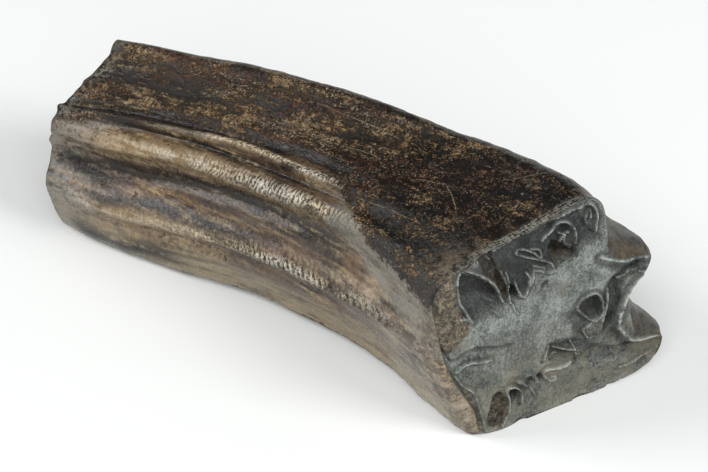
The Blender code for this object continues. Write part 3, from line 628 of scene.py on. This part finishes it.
def streaks(along, around, rows):
    """The strongest of some lengthwise streaks at each point: bell curves across their
    paths, which start and end by smooth steps."""
    total = np.zeros((len(along), len(around)))
    for half_width, first, last, path, *soft in rows:
        start, end = soft or STREAK_ENDS
        ends = inside(along - first, start) * inside(last - along, end)
        apart = apart_from(along, around, path)
        total = np.maximum(total, ends[:, None] * bell(apart, half_width))
    return total


def edge_strip(along, turn, first, over, middle, half_width):
    """A strip beside the chewing edge: a smooth step along the crown, times one of the
    distance around from its middle."""
    apart = np.abs((turn - middle + TURN / 2) % TURN - TURN / 2)
    return smooth_step((along - first) / over)[:, None] * smooth_step(1 - apart / half_width)


def wall_finish(along, around):
    """What the wall is made of, with painted shade in the grooves and painted highlights
    on the crests among it, from 0 to 1 at each point, by name.
    """
    turn = around[None, :] + 0 * along[:, None]
    band_end = smooth_step((along - BAND_START) / BAND_OVER)[:, None]
    return {
        **{name: streaks(along, around, rows) for name, rows in STREAKS.items()},
        "topside": window(along, around, TOPSIDE_FROM, TOPSIDE_TO, TOPSIDE_SOFT),
        "tongue": window(along, around, TONGUE_EDGE, TOPSIDE_FROM, TOPSIDE_SOFT),
        "band": window(along, around, BAND_FROM, TOPSIDE_FROM, BAND_SOFT) * band_end,
        "hem": edge_strip(along, turn, *HEM),
        "chalk": edge_strip(along, turn, *CHALK),
        "root": smooth_step((ROOT_STAIN - along) / ROOT_STAIN_OVER)[:, None] + 0 * turn,
        "turn": turn + TURN * (turn < LAY_SEAM),
    }


def wall_places():
    """Places along the crown, closest together where the wrinkles are."""
    return np.concatenate([
        np.linspace(0, MIDDLE_FROM, ROWS_ROOT, endpoint=False),
        np.linspace(MIDDLE_FROM, MIDDLE_TO, ROWS_MIDDLE, endpoint=False),
        np.linspace(MIDDLE_TO, 1, ROWS_CROWN)])


def edge_rounding(distance, around):
    """How far the corner between wall and face is cut back, at a distance from it: the
    rounding of a square corner falls off by the square of the distance in radii."""
    places, radii = np.array(RIM_RADIUS).T
    radius = np.interp(around, places, radii)
    return CORNER_CUT * radius * np.clip(1 - distance / radius, 0, 1) ** 2


def edge_chips(points, distance, around):
    """Depth of the chips in the chewing edge: a noise's upper half, dying away with the
    distance from the edge, and over four times as deep along the side it lies on."""
    low = (smooth_step((around - LOW_EDGE[0]) / LOW_EDGE_SOFT)
           * smooth_step((LOW_EDGE[1] - around) / LOW_EDGE_SOFT))
    depth = CHIP_DEPTH + CHIP_DEPTH_LOW * low
    return depth * np.maximum(rough(points, *CHIP_NOISE), 0) * np.exp(-distance / CHIP_REACH)


def rim_directions(ring):
    """Directions out of the face's outline, in the chewing plane."""
    run = np.roll(ring, -1, axis=0) - np.roll(ring, 1, axis=0)
    run = run / np.linalg.norm(run, axis=1, keepdims=True)
    return run[:, 1:] * -FACE_ACROSS + run[:, :1] * FACE_UP


# ---- the two ends' relief ----
def face_relief(across, up):
    """Height of the chewing face, with what it is made of, and the dark dentine with painted
    shade beside its enamel.

    Enamel ridges are bell curves of the distance to their paths on wider skirts that die
    away by a power of e, slits are bell curves the other way, and basins and hollows fall
    by a smooth step of the distance inside their loops."""
    relief, enamel, flank, dark, shade, cement = (np.zeros(across.shape) for _ in range(6))
    for height, half_width, path in ENAMEL:
        distance = path_distance(across, up, curve_through(path, PATH_STEPS)) / half_width
        line = bell(ENAMEL_SHARPNESS * distance)
        skirt = np.exp(-distance / SKIRT)
        relief = np.maximum(relief, height * (ENAMEL_LINE * line + ENAMEL_SKIRT * skirt))
        enamel = np.maximum(enamel, line)
        flank = np.maximum(flank, bell(distance - FLANK_PLACE, FLANK_WIDTH))
    for share, loop in FACE_SHADES:
        shade = np.maximum(shade, share * inside(loop_depth(across, up, loop), BASIN_SLOPE))
    relief -= BASIN_DEPTH * shade
    for depth, slope, loop in HOLLOWS:
        fall = inside(loop_depth(across, up, loop), slope)
        relief -= depth * fall
        dark = np.maximum(dark, fall * min(1.0, depth))
    for depth, half_width, path in SLITS:
        line = bell(path_distance(across, up, curve_through(path, SLIT_STEPS)), half_width)
        relief -= depth * line
        dark = np.maximum(dark, line * min(1.0, 2 * depth))
    for loop in FACE_CEMENT:
        cement = np.maximum(cement, inside(loop_depth(across, up, loop), CEMENT_SOFT))
    place = np.stack([across, up, 0 * up], axis=-1)
    relief += rough(place, *FACE_LUMPS) + rough(place, *FACE_GRIT) * (1 + cement)
    return relief, {"enamel": enamel, "flank": flank * (1 - enamel), "dark": dark,
                    "cement": cement, "shade": shade}


def root_relief(across, up):
    """Height of the broken end: pulp cavities along their paths and a rough break."""
    relief = np.zeros(across.shape)
    for depth, half_width, path in ROOT_HOLLOWS:
        relief -= depth * bell(path_distance(across, up, path), half_width, ROOT_HOLLOW_BLUNT)
    place = np.stack([across, up, 0 * up], axis=-1)
    return relief + rough(place, *BREAK_LUMPS, layers=4)


# ---- the closed mesh ----
def square_grid(cells):
    """Places of a square grid: radius from the middle (0 to 1) and way round (0 to 1),
    walking clockwise from the upper left corner."""
    step = np.linspace(-1, 1, cells + 1)
    x, y = np.meshgrid(step, step[::-1])
    radius = np.maximum(abs(x), abs(y))
    safe = np.where(radius > 0, radius, 1)
    a, b = x / safe, y / safe
    way = np.where(b >= 1, (a + 1) / 8, 0.0)
    way = np.where((a >= 1) & (b < 1), 0.25 + (1 - b) / 8, way)
    way = np.where((b <= -1) & (a < 1), 0.5 + (1 - a) / 8, way)
    way = np.where((a <= -1) & (b < 1) & (b > -1), 0.75 + (b + 1) / 8, way)
    return radius, way


def fill_outline(ring, centre, cells):
    """A grid over a closed ring: each point lies on the line from the centre to the
    ring, at the grid's radius."""
    radius, way = square_grid(cells)
    place = way * len(ring)
    low = np.floor(place + 1e-6).astype(int)
    share = np.clip(place - low, 0, 1)[..., None]
    edge = ring[low % len(ring)] * (1 - share) + ring[(low + 1) % len(ring)] * share
    return centre + radius[..., None] * (edge - centre)


def grid_border(index):
    """Vertex numbers around a square grid, clockwise from the upper left corner."""
    return np.concatenate([index[0, :-1], index[:-1, -1], index[-1, :0:-1], index[:0:-1, 0]])


def grid_quads(index):
    """Quads of a grid of vertex numbers, wound clockwise in the grid's own layout."""
    corners = [index[:-1, :-1], index[:-1, 1:], index[1:, 1:], index[1:, :-1]]
    return np.stack(corners, axis=-1).reshape(-1, 4)


def column_picks(around):
    """Which border vertices of the face start a column of the wall: four for each root
    cell, and TONGUE_DENSITY times as close together on the tongue side as elsewhere."""
    place = np.where(around < TONGUE_TO - TURN, around + TURN, around)
    share = np.where((place >= TONGUE_FROM) & (place <= TONGUE_TO), TONGUE_DENSITY, 1.0)
    before = np.cumsum(share) - share
    count = 4 * ROOT_CELLS
    return np.searchsorted(before, np.arange(count) / count * share.sum())


def stitch(rim, picks, row):
    """Triangles between the face's border and the wall's last row: every border edge
    joins the nearest wall vertex, and every wall edge joins the border vertex halfway."""
    count = len(rim)
    following = np.append(picks[1:], count)
    halfway = (picks + following) // 2
    edge = np.arange(count)
    owner = row[np.searchsorted(halfway, edge, side="right") % len(row)]
    fans = np.stack([owner, rim, np.roll(rim, -1)], axis=1)
    wedges = np.stack([row, rim[halfway % count], np.roll(row, -1)], axis=1)
    return np.vstack([fans, wedges])


def chewing_face(rim_outline, rim_around):
    """Points of the chewing face and what they are made of: the plane, its relief along
    the normal, and the cut corner halfway between the normal and the rim's direction."""
    flat = fill_outline(rim_outline[:, :2], np.array(FACE_CENTRE), FACE_CELLS)
    ring = np.vstack([rim_outline[::4, :2], rim_outline[:1, :2]])
    edge = path_distance(flat[..., 0], flat[..., 1], ring)
    relief, made = face_relief(flat[..., 0], flat[..., 1])
    count = len(rim_outline)
    ray = np.round(square_grid(FACE_CELLS)[1] * count).astype(int) % count
    corner = (FACE_NORMAL + rim_directions(rim_outline[:, :2]))[ray] / np.sqrt(2)
    points = on_face(flat[..., 0], flat[..., 1])
    cut = edge_rounding(edge, rim_around[ray]) + edge_chips(points, edge, rim_around[ray])
    made["face"] = np.ones(edge.shape)
    return points + relief[..., None] * FACE_NORMAL - cut[..., None] * corner, made


def crown_wall(outline, around):
    """Points of the wall and what they are made of: the smooth wall, its forms, wrinkles
    and grain along the normals, and the cut corner. Its last row is left to the face.
    The lay is the length along the crown and the girth around it."""
    along = wall_places()
    smooth_wall = side_wall(outline, around, along)
    forms = long_forms(along, around)
    wrinkles, count, scaly = crest_wrinkles(along, around)
    grain = rough(smooth_wall, *WALL_LUMPS) + rough(smooth_wall, *WALL_GRIT)
    fade = smooth_step((1 - along) / FORMS_END)[:, None]
    outwards = wall_normals(smooth_wall)
    edge = (1 - along[:, None]) * CROWN_LENGTH
    cut = edge_rounding(edge, around[None, :]) + edge_chips(smooth_wall, edge, around[None, :])
    corner = (FACE_NORMAL + outwards) / np.sqrt(2)
    raised = (forms + wrinkles + grain) * fade
    wall = smooth_wall + raised[..., None] * outwards - cut[..., None] * corner

    steps = np.diff(smooth_wall, axis=1, append=smooth_wall[:, :1])
    girth = np.cumsum(np.linalg.norm(steps, axis=2), axis=1)
    lay_around = girth.mean(axis=0) + girth[:, -1].mean() * (around < LAY_SEAM)
    made = wall_finish(along, around)
    made.update(count=count, scaly=scaly, lay_along=(along * CROWN_LENGTH)[:, None] + 0 * girth,
                lay_around=lay_around + 0 * girth)
    return wall[:-1], {name: value[:-1] for name, value in made.items()}


def broken_root(ring):
    """Points of the root end inside its ring, sunk by the broken end's relief, which
    fades away over the outer quarter."""
    middle = np.array([ROOT_X - ROOT_BULGE, *ROOT_CENTRE])
    root = fill_outline(ring, middle, ROOT_CELLS)
    inner = smooth_step(4 * (1 - square_grid(ROOT_CELLS)[0]))
    root[..., 0] -= inner * root_relief(root[..., 1], root[..., 2])
    return root


def tooth_surface():
    """All points of the tooth with what each is made of, and all faces."""
    rim_outline, rim_around = even_outline(4 * FACE_CELLS)
    picks = column_picks(rim_around)
    face, face_made = chewing_face(rim_outline, rim_around)
    wall, wall_made = crown_wall(rim_outline[picks], rim_around[picks])
    root = broken_root(wall[0])

    face_index = np.arange(face[..., 0].size).reshape(face.shape[:2])
    wall_index = face_index.size + np.arange(wall[..., 0].size).reshape(wall.shape[:2])
    inner = np.zeros(root.shape[:2], dtype=bool)
    inner[1:-1, 1:-1] = True
    root_index = np.zeros(inner.shape, dtype=int)
    root_index[inner] = face_index.size + wall_index.size + np.arange(inner.sum())
    sides = wall_index[0].reshape(4, ROOT_CELLS)
    root_index[0, :-1], root_index[:-1, -1] = sides[0], sides[1]
    root_index[-1, :0:-1], root_index[:0:-1, 0] = sides[2], sides[3]

    points = np.vstack([face.reshape(-1, 3), wall.reshape(-1, 3), root[inner]])
    points[:, 2] = np.maximum(points[:, 2], 0)
    closed = np.hstack([wall_index, wall_index[:, :1]])
    quads = np.vstack([grid_quads(face_index)[:, ::-1], grid_quads(closed)[:, ::-1],
                       grid_quads(root_index)])
    triangles = stitch(grid_border(face_index), picks, wall_index[-1])

    root_made = {"root": np.ones(inner.sum()), "broken": np.ones(inner.sum())}
    made = {}
    for name in (*face_made, *wall_made, "broken"):
        parts = (face_made.get(name, np.zeros(face_index.shape)),
                 wall_made.get(name, np.zeros(wall_index.shape)),
                 root_made.get(name, np.zeros(inner.sum())))
        made[name] = np.concatenate([part.ravel() for part in parts])
    return points, quads, triangles, made


# ---- mineral colours ----
def tone(red, green, blue):
    """A colour from its display values, 0 to 255."""
    display = np.array([red, green, blue]) / 255
    linear = np.where(display <= 0.04045, display / 12.92, ((display + 0.055) / 1.055) ** 2.4)
    return (*linear.tolist(), 1.0)


def arithmetic(operation, swapped=False):
    """An operator between a shade and another or a number, which adds a Math node."""
    def operator(self, other):
        first, second = (other, self) if swapped else (self, other)
        return self.node("Math", {"operation": operation}, {0: first, 1: second})
    return operator


class Shade:
    """A socket of a material's nodes, with nodes as its operators and methods."""
    __add__ = __radd__ = arithmetic("ADD")
    __sub__ = arithmetic("SUBTRACT")
    __rsub__ = arithmetic("SUBTRACT", swapped=True)
    __mul__ = __rmul__ = arithmetic("MULTIPLY")
    most = arithmetic("MAXIMUM")

    def __init__(self, tree, socket=None):
        self.tree = tree
        self.socket = socket

    def node(self, kind, settings, values, out=0):
        """A node of a kind: its settings, a ramp's stops among them, then the values or
        links of its sockets. Gives one of its outputs."""
        made = self.tree.nodes.new("ShaderNode" + kind)
        for name, value in settings.items():
            if name == "stops":
                ramp = made.color_ramp
                while len(ramp.elements) < len(value):
                    ramp.elements.new(1.0)
                for element, (place, colour) in zip(ramp.elements, value):
                    element.position = place
                    element.color = colour
            else:
                setattr(made, name, value)
        for name, value in values.items():
            if isinstance(value, Shade):
                self.tree.links.new(value.socket, made.inputs[name])
            else:
                made.inputs[name].default_value = value
        return Shade(self.tree, made.outputs[out])

    def maths(self, operation):
        """A Math node of this value alone."""
        return self.node("Math", {"operation": operation}, {0: self})

    def between(self, low, high):
        """0 below low, 1 above high and a smooth step from one to the other."""
        return self.node("MapRange", {"interpolation_type": "SMOOTHSTEP"},
                         {"Value": self, "From Min": low, "From Max": high})

    def attribute(self, name):
        """A value of the mesh's points."""
        return self.node("Attribute", {"attribute_name": name}, {}, "Fac")

    def stretched(self, *scale):
        """A vector with each of its parts scaled."""
        return self.node("VectorMath", {"operation": "MULTIPLY"}, {0: self, 1: scale})

    def noise(self, size, detail, roughness, twist=0.0):
        """Noise from 0 to 1 over this vector of millimetres, with lumps of a size."""
        return self.node("TexNoise", {}, {"Vector": self, "Scale": 1 / size, "Detail": detail,
                                          "Roughness": roughness, "Distortion": twist})

    def ramp(self, *stops):
        """A colour that runs through stops, each a place and the colour's display values."""
        stops = tuple((place, tone(*colour)) for place, *colour in stops)
        return self.node("ValToRGB", {"stops": stops}, {0: self})

    def under(self, *coats):
        """This colour under others in turn. Each is mixed over the last by its share,
        from 0 to 1, and is a shade or display values."""
        result = self
        for coat, share in coats:
            coat = coat if isinstance(coat, Shade) else tone(*coat)
            result = self.node("Mix", {"data_type": "RGBA"}, {0: share, 6: result, 7: coat}, 2)
        return result


def cracks(along, turn, stray):
    """Where the hair cracks run: near a straight line that strays a little, between its
    two ends."""
    total = 0.0
    for (first, start), (last, end) in CRACKS:
        lean = (end - start) / (last - first)
        apart = turn - along * lean + stray - (start - lean * first)
        line = apart.maths("ABSOLUTE").between(CRACK_WIDTH, 0.0)
        line = line * along.between(first - CRACK_TIP, first + CRACK_TIP)
        total = line * along.between(last + CRACK_TIP, last - CRACK_TIP) + total
    return total


def new_material(name):
    """A material of nodes, and its main shader."""
    material = bpy.data.materials.new(name)
    material.use_nodes = True
    nodes = material.node_tree.nodes
    return material, next(node for node in nodes if node.type == "BSDF_PRINCIPLED")


def fossil_finish():
    """Brown-black stained cement on the broad side, polished enamel crests with painted
    highlights on the tongue side, slate-grey dentine with pale enamel, brightened as painted
    highlights, and painted shade beside it, on the chewing face."""
    material, shader = new_material("fossil_mineral")
    tree = material.node_tree
    sheet = Shade(tree)
    (face, broken, root, topside, tongue, band, crest, soot, ochre, rust, gold, chalk, hem,
     enamel, flank, dark, shade, cement, scaly, count, turn, along, girth) = (
        sheet.attribute(name) for name in (
            "face broken root topside tongue band crest soot ochre rust gold chalk hem enamel "
            "flank dark shade cement scaly count turn lay_along lay_around").split())

    # noises in space, and along the crown's lay
    place = sheet.node("TexCoord", {}, {}, "Object").stretched(1 / MM, 1 / MM, 1 / MM)
    lay = sheet.node("CombineXYZ", {}, {0: along, 1: girth})
    grit = place.noise(0.22, 2.0, 0.7)
    grain = place.noise(0.7, 4.0, 0.7)
    patch = place.noise(3.5, 3.0, 0.6)
    cloud = place.noise(6.0, 3.0, 0.6)
    scratch = place.stretched(1.0, 0.25, 0.25).noise(0.35, 3.0, 0.6, 1.5)
    streak = lay.stretched(0.12, 1.0, 1.0).noise(0.8, 4.0, 0.65)
    stain = lay.stretched(0.35, 1.0, 1.0).noise(2.4, 4.0, 0.65, 0.6)
    broad = lay.stretched(0.5, 1.0, 1.0).noise(8.0, 2.0, 0.5)
    crinkle = lay.stretched(1.0, 0.7, 1.0).noise(0.32, 2.0, 0.6, 0.9)
    scales = (FULL_TURN * count).maths("SINE") * scaly
    fine = grain * 0.6 + grit * 0.4
    mottle = grain * 0.6 + patch * 0.4

    # the broad side: near-black cement with rusty and golden specks, and fine pale points as
    # painted glints
    coarse = topside.most(1 - tongue) + 1.8 * (grain - 0.5) + 1.9 * (stain - 0.5)
    coarse = coarse.between(0.36, 0.64)
    specks = (grain * 0.6 + grit * 0.6 + streak * 0.3 + stain * 0.8 + patch * 0.25 + 0.03 * ochre
              - 0.745 - along * 0.0012)
    cheek = turn.between(40.6, 42.2) + turn.between(27.5, 26.0)
    # fine pale points painted as glints
    painted_glints = grit.between(0.6, 0.7) * stain.between(0.42, 0.6) * along.between(80.0, 30.0)
    topcoat = specks.ramp(
        (0.4, 8, 7, 4), (0.5, 58, 44, 27), (0.61, 104, 80, 50), (0.76, 164, 142, 106)).under(
        ((84, 46, 32), broad.between(0.48, 0.58) * grain.between(0.4, 0.6) * 0.5),
        ((6, 5, 3), (stain * 0.7 + broad * 0.3).between(0.5, 0.6) * 0.75),
        ((6, 5, 3), along.between(20.0, 58.0) * specks.between(0.56, 0.44) * 0.85),
        ((176, 168, 148), painted_glints * 0.75),
        ((72, 71, 62), cheek * (streak * 0.4 + grain * 0.6).between(0.36, 0.56) * 0.85),
        ((96, 80, 58), cheek * stain.between(0.5, 0.64) * 0.6),
        ((118, 106, 90), chalk * mottle.between(0.43, 0.55) * 0.65))

    # the tongue side: smooth brown, streaked lengthwise, with highlights painted on the crests,
    # pale and wrinkled in a golden glow
    onward = along.between(3.0, 13.0)
    late = along.between(16.0, 30.0)
    # pale: where highlights are painted on the crests, in their wrinkles
    wrinkled = crinkle + 0.07 * scales
    pale = wrinkled.between(0.44, 0.56) * late + wrinkled.between(0.3, 0.66) * (1 - late) * 0.6
    pale = crest * crest * pale * (patch * 0.5 + streak * 0.5).between(0.4, 0.54)
    grey = (band + 0.6 * (grain - 0.5)).between(0.3, 0.7) * stain.between(0.25, 0.6)
    corner = (along + 8 * (patch - 0.5)).between(61.0, 70.0)
    side = (streak * 0.7 + stain * 0.5 + grain * 0.4 - 0.3).ramp(
        (0.36, 24, 18, 14), (0.46, 66, 53, 40), (0.55, 110, 92, 69), (0.66, 160, 141, 110)).under(
        ((120, 86, 50), patch.between(0.5, 0.6) * 0.3),
        ((64, 52, 49), broad.between(0.52, 0.42) * 0.5),
        ((140, 128, 106), turn.between(29.0, 27.8) * streak.between(0.2, 0.6) * 0.85),
        # yellow-brown stain, and a painted golden highlight along the upper crest
        ((162, 139, 104), ochre * grain.between(0.36, 0.6) * 0.65),
        ((116, 115, 110), along.between(12.0, 2.0) * grain.between(0.38, 0.56) * 0.65),
        ((158, 156, 146), along.between(42.0, 66.0) * streak.between(0.3, 0.6) * 0.35),
        # painted highlights on the crests: a golden glow towards the root, a dark base further
        # on, then pale wrinkled glints, silver in places and greyer towards the chewing end
        ((150, 124, 82), crest * along.between(36.0, 20.0) * onward * 0.55),
        ((46, 37, 27), crest * along.between(10.0, 36.0) * 0.55),
        ((222, 206, 174), pale * (0.25 + 0.75 * onward) * 0.75),
        ((196, 200, 198), pale * broad.between(0.45, 0.58) * 0.6),
        ((116, 112, 103), pale * along.between(44.0, 58.0) * 0.8),
        ((114, 114, 106), grey * (0.5 + 0.5 * streak)),
        ((74, 54, 34), rust * grain.between(0.56, 0.44) * 0.8),
        ((150, 132, 98), gold * grain.between(0.46, 0.54) * 0.7),
        ((72, 57, 42), corner * (patch * 0.7 + grain * 0.3).between(0.54, 0.44) * 0.65),
        ((170, 154, 120), corner * fine.between(0.48, 0.62) * 0.5))

    # the chewing face: dentine, darker in its basins, with cement, painted shade beside the
    # enamel lines, and broken enamel lines brightened as painted highlights
    low = sheet.node("SeparateXYZ", {}, {0: place}, 2).between(13.0, 5.0)
    mud = fine.ramp((0.4, 22, 19, 14), (0.5, 78, 69, 55), (0.6, 136, 124, 102))
    slate = (patch * 0.36 + grain * 0.15 + grit * 0.36 + scratch * 0.22 - 0.05).ramp(
        (0.38, 46, 49, 47), (0.48, 90, 94, 90), (0.6, 140, 146, 140)).under(
        ((20, 23, 23), shade * (0.85 + 1.2 * (patch - 0.5))),
        # painted shade, over dark dentine, beside the enamel lines
        ((20, 22, 20), flank * 0.65),
        ((98, 92, 78), cloud.between(0.5, 0.62) * (1 - shade) * 0.4),
        ((108, 101, 82), low * (patch * 0.6 + grain * 0.4).between(0.42, 0.56) * 0.5),
        (mud, cement * (1 - enamel)),
        ((5, 5, 4), dark * 0.75),
        # pale enamel lines, brightened into broken painted highlights
        ((198, 203, 196), enamel * enamel * mottle.between(0.38, 0.58) * 0.85))

    # the whole tooth, with its dark stain and painted shade in the grooves, root stain, ticked
    # hem, broken end and hair cracks
    ticks = (girth * 17.0 + 15.0 * grain).maths("SINE")
    ticks = (ticks + (along * 10.0 + 9.0 * patch).maths("SINE")) * hem
    stray = 0.05 * (grain - 0.5) + 0.25 * (patch - 0.5)
    crack = cracks(along * (1 / CROWN_LENGTH), turn, stray)
    colour = side.under(
        (topcoat, coarse),
        # dark stain and painted shade in the grooves
        ((12, 10, 8), soot * (streak * 0.5 + grain * 0.5).between(0.68, 0.5) * 0.92),
        ((104, 102, 94), root * grain.between(0.46, 0.56) * 0.7),
        ((140, 139, 128), hem * (0.07 * ticks + grain).between(0.36, 0.6) * 0.8),
        (slate, face),
        (mottle.ramp((0.4, 20, 17, 12), (0.6, 86, 74, 56)), broken),
        ((130, 118, 96), crack * coarse * grit.between(0.38, 0.5)))
    tree.links.new(colour.socket, shader.inputs["Base Color"])

    unevenness = 0.3 * (grain - 0.5)
    gloss = (0.27 - 0.06 * coarse - 0.09 * crest + unevenness) * (1 - face)
    gloss = gloss + (0.22 + 0.25 * cement - 0.08 * enamel + unevenness) * face
    tree.links.new(gloss.socket, shader.inputs["Roughness"])
    shader.inputs["IOR"].default_value = 1.46

    # crusty is where the grain stands out: not in the dark parts, which stay dark
    crusty = coarse * (1 - 0.75 * specks.between(0.56, 0.46) * topside)
    crusty = crusty * (1 - 0.7 * soot) + 0.4 * corner * (1 - topside)
    relief = (grit * (0.05 + 0.17 * crusty) + grain * (0.08 + 0.3 * crusty)
              + crinkle * (0.05 + 0.34 * crest) + 0.1 * scales + 0.04 * ticks
              + 0.08 * streak * (1 - face) + 0.12 * scratch * face - 0.05 * crack)
    bump = sheet.node("Bump", {}, {"Height": relief, "Distance": MM, "Strength": 1.0})
    tree.links.new(bump.socket, shader.inputs["Normal"])
    return material


# ---- putting it together ----
def placed(name, data, place=(0, 0, 0), heading=None):
    """A new object of the scene, at a place in metres, looking along a heading."""
    made = bpy.data.objects.new(name, data)
    made.location = place
    if heading is not None:
        made.rotation_mode = "QUATERNION"
        made.rotation_quaternion = heading.to_track_quat("-Z", "Y")
    bpy.context.scene.collection.objects.link(made)
    return made


def mesh_object(name, points, quads, triangles, values, material):
    """A smooth-shaded closed mesh in metres, with one value for each point by name."""
    mesh = bpy.data.meshes.new(name)
    mesh.from_pydata((points * MM).tolist(), [], quads.tolist() + triangles.tolist())
    mesh.polygons.foreach_set("use_smooth", np.ones(len(mesh.polygons), dtype=bool))
    for title, value in values.items():
        attribute = mesh.attributes.new(title, "FLOAT", "POINT")
        attribute.data.foreach_set("value", value.astype(np.float32))
    mesh.materials.append(material)
    mesh.update()
    return placed(name, mesh)


def camera(azimuth, elevation, distance, target, lens):
    """A camera at a distance from a target, turned and raised by degrees."""
    turn, rise = np.radians(azimuth), np.radians(elevation)
    back = Vector((np.sin(turn) * np.cos(rise), -np.cos(turn) * np.cos(rise), np.sin(rise)))
    data = bpy.data.cameras.new("camera")
    data.lens = lens
    data.clip_start = 0.01
    data.clip_end = 20
    place = Vector(target) * MM + back * distance * MM
    bpy.context.scene.camera = placed("camera", data, place, -back)


def softbox(name, place, size, power):
    """A square soft light facing the tooth's middle."""
    light = bpy.data.lights.new(name, "AREA")
    light.energy = power
    light.size = size
    placed(name, light, place, Vector(LIT_POINT) - Vector(place))


def studio():
    """A pale floor, a pale sky and soft lights."""
    material, shader = new_material("pale_floor")
    shader.inputs["Base Color"].default_value = (0.62, 0.63, 0.625, 1)
    shader.inputs["Emission Color"].default_value = (0.98, 1.0, 0.99, 1)
    shader.inputs["Emission Strength"].default_value = 0.085
    shader.inputs["Roughness"].default_value = 0.9
    mesh = bpy.data.meshes.new("floor")
    half = FLOOR_SIDE / 2
    corners = [(-half, -half, 0), (half, -half, 0), (half, half, 0), (-half, half, 0)]
    mesh.from_pydata(corners, [], [(0, 1, 2, 3)])
    mesh.materials.append(material)
    floor = placed("floor", mesh)
    world = bpy.data.worlds.new("sky")
    world.use_nodes = True
    sky = world.node_tree.nodes["Background"]
    sky.inputs["Color"].default_value = (0.95, 0.98, 0.97, 1)
    sky.inputs["Strength"].default_value = 0.11
    bpy.context.scene.world = world
    for name, place, size, power in LIGHTS:
        softbox(name, place, size, power)
    bpy.context.scene.view_settings.view_transform = "Standard"


def tooth():
    """The one piece: the whole tooth, in the place of the solid."""
    points, quads, triangles, made = tooth_surface()
    piece = mesh_object("tooth_surface", points, quads, triangles, made, fossil_finish())
    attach(piece, "root")
    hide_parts("fossil_tooth")


camera(azimuth=30, elevation=42, distance=420, target=(2.1, 0.1, 12), lens=183.66)
studio()
tooth()
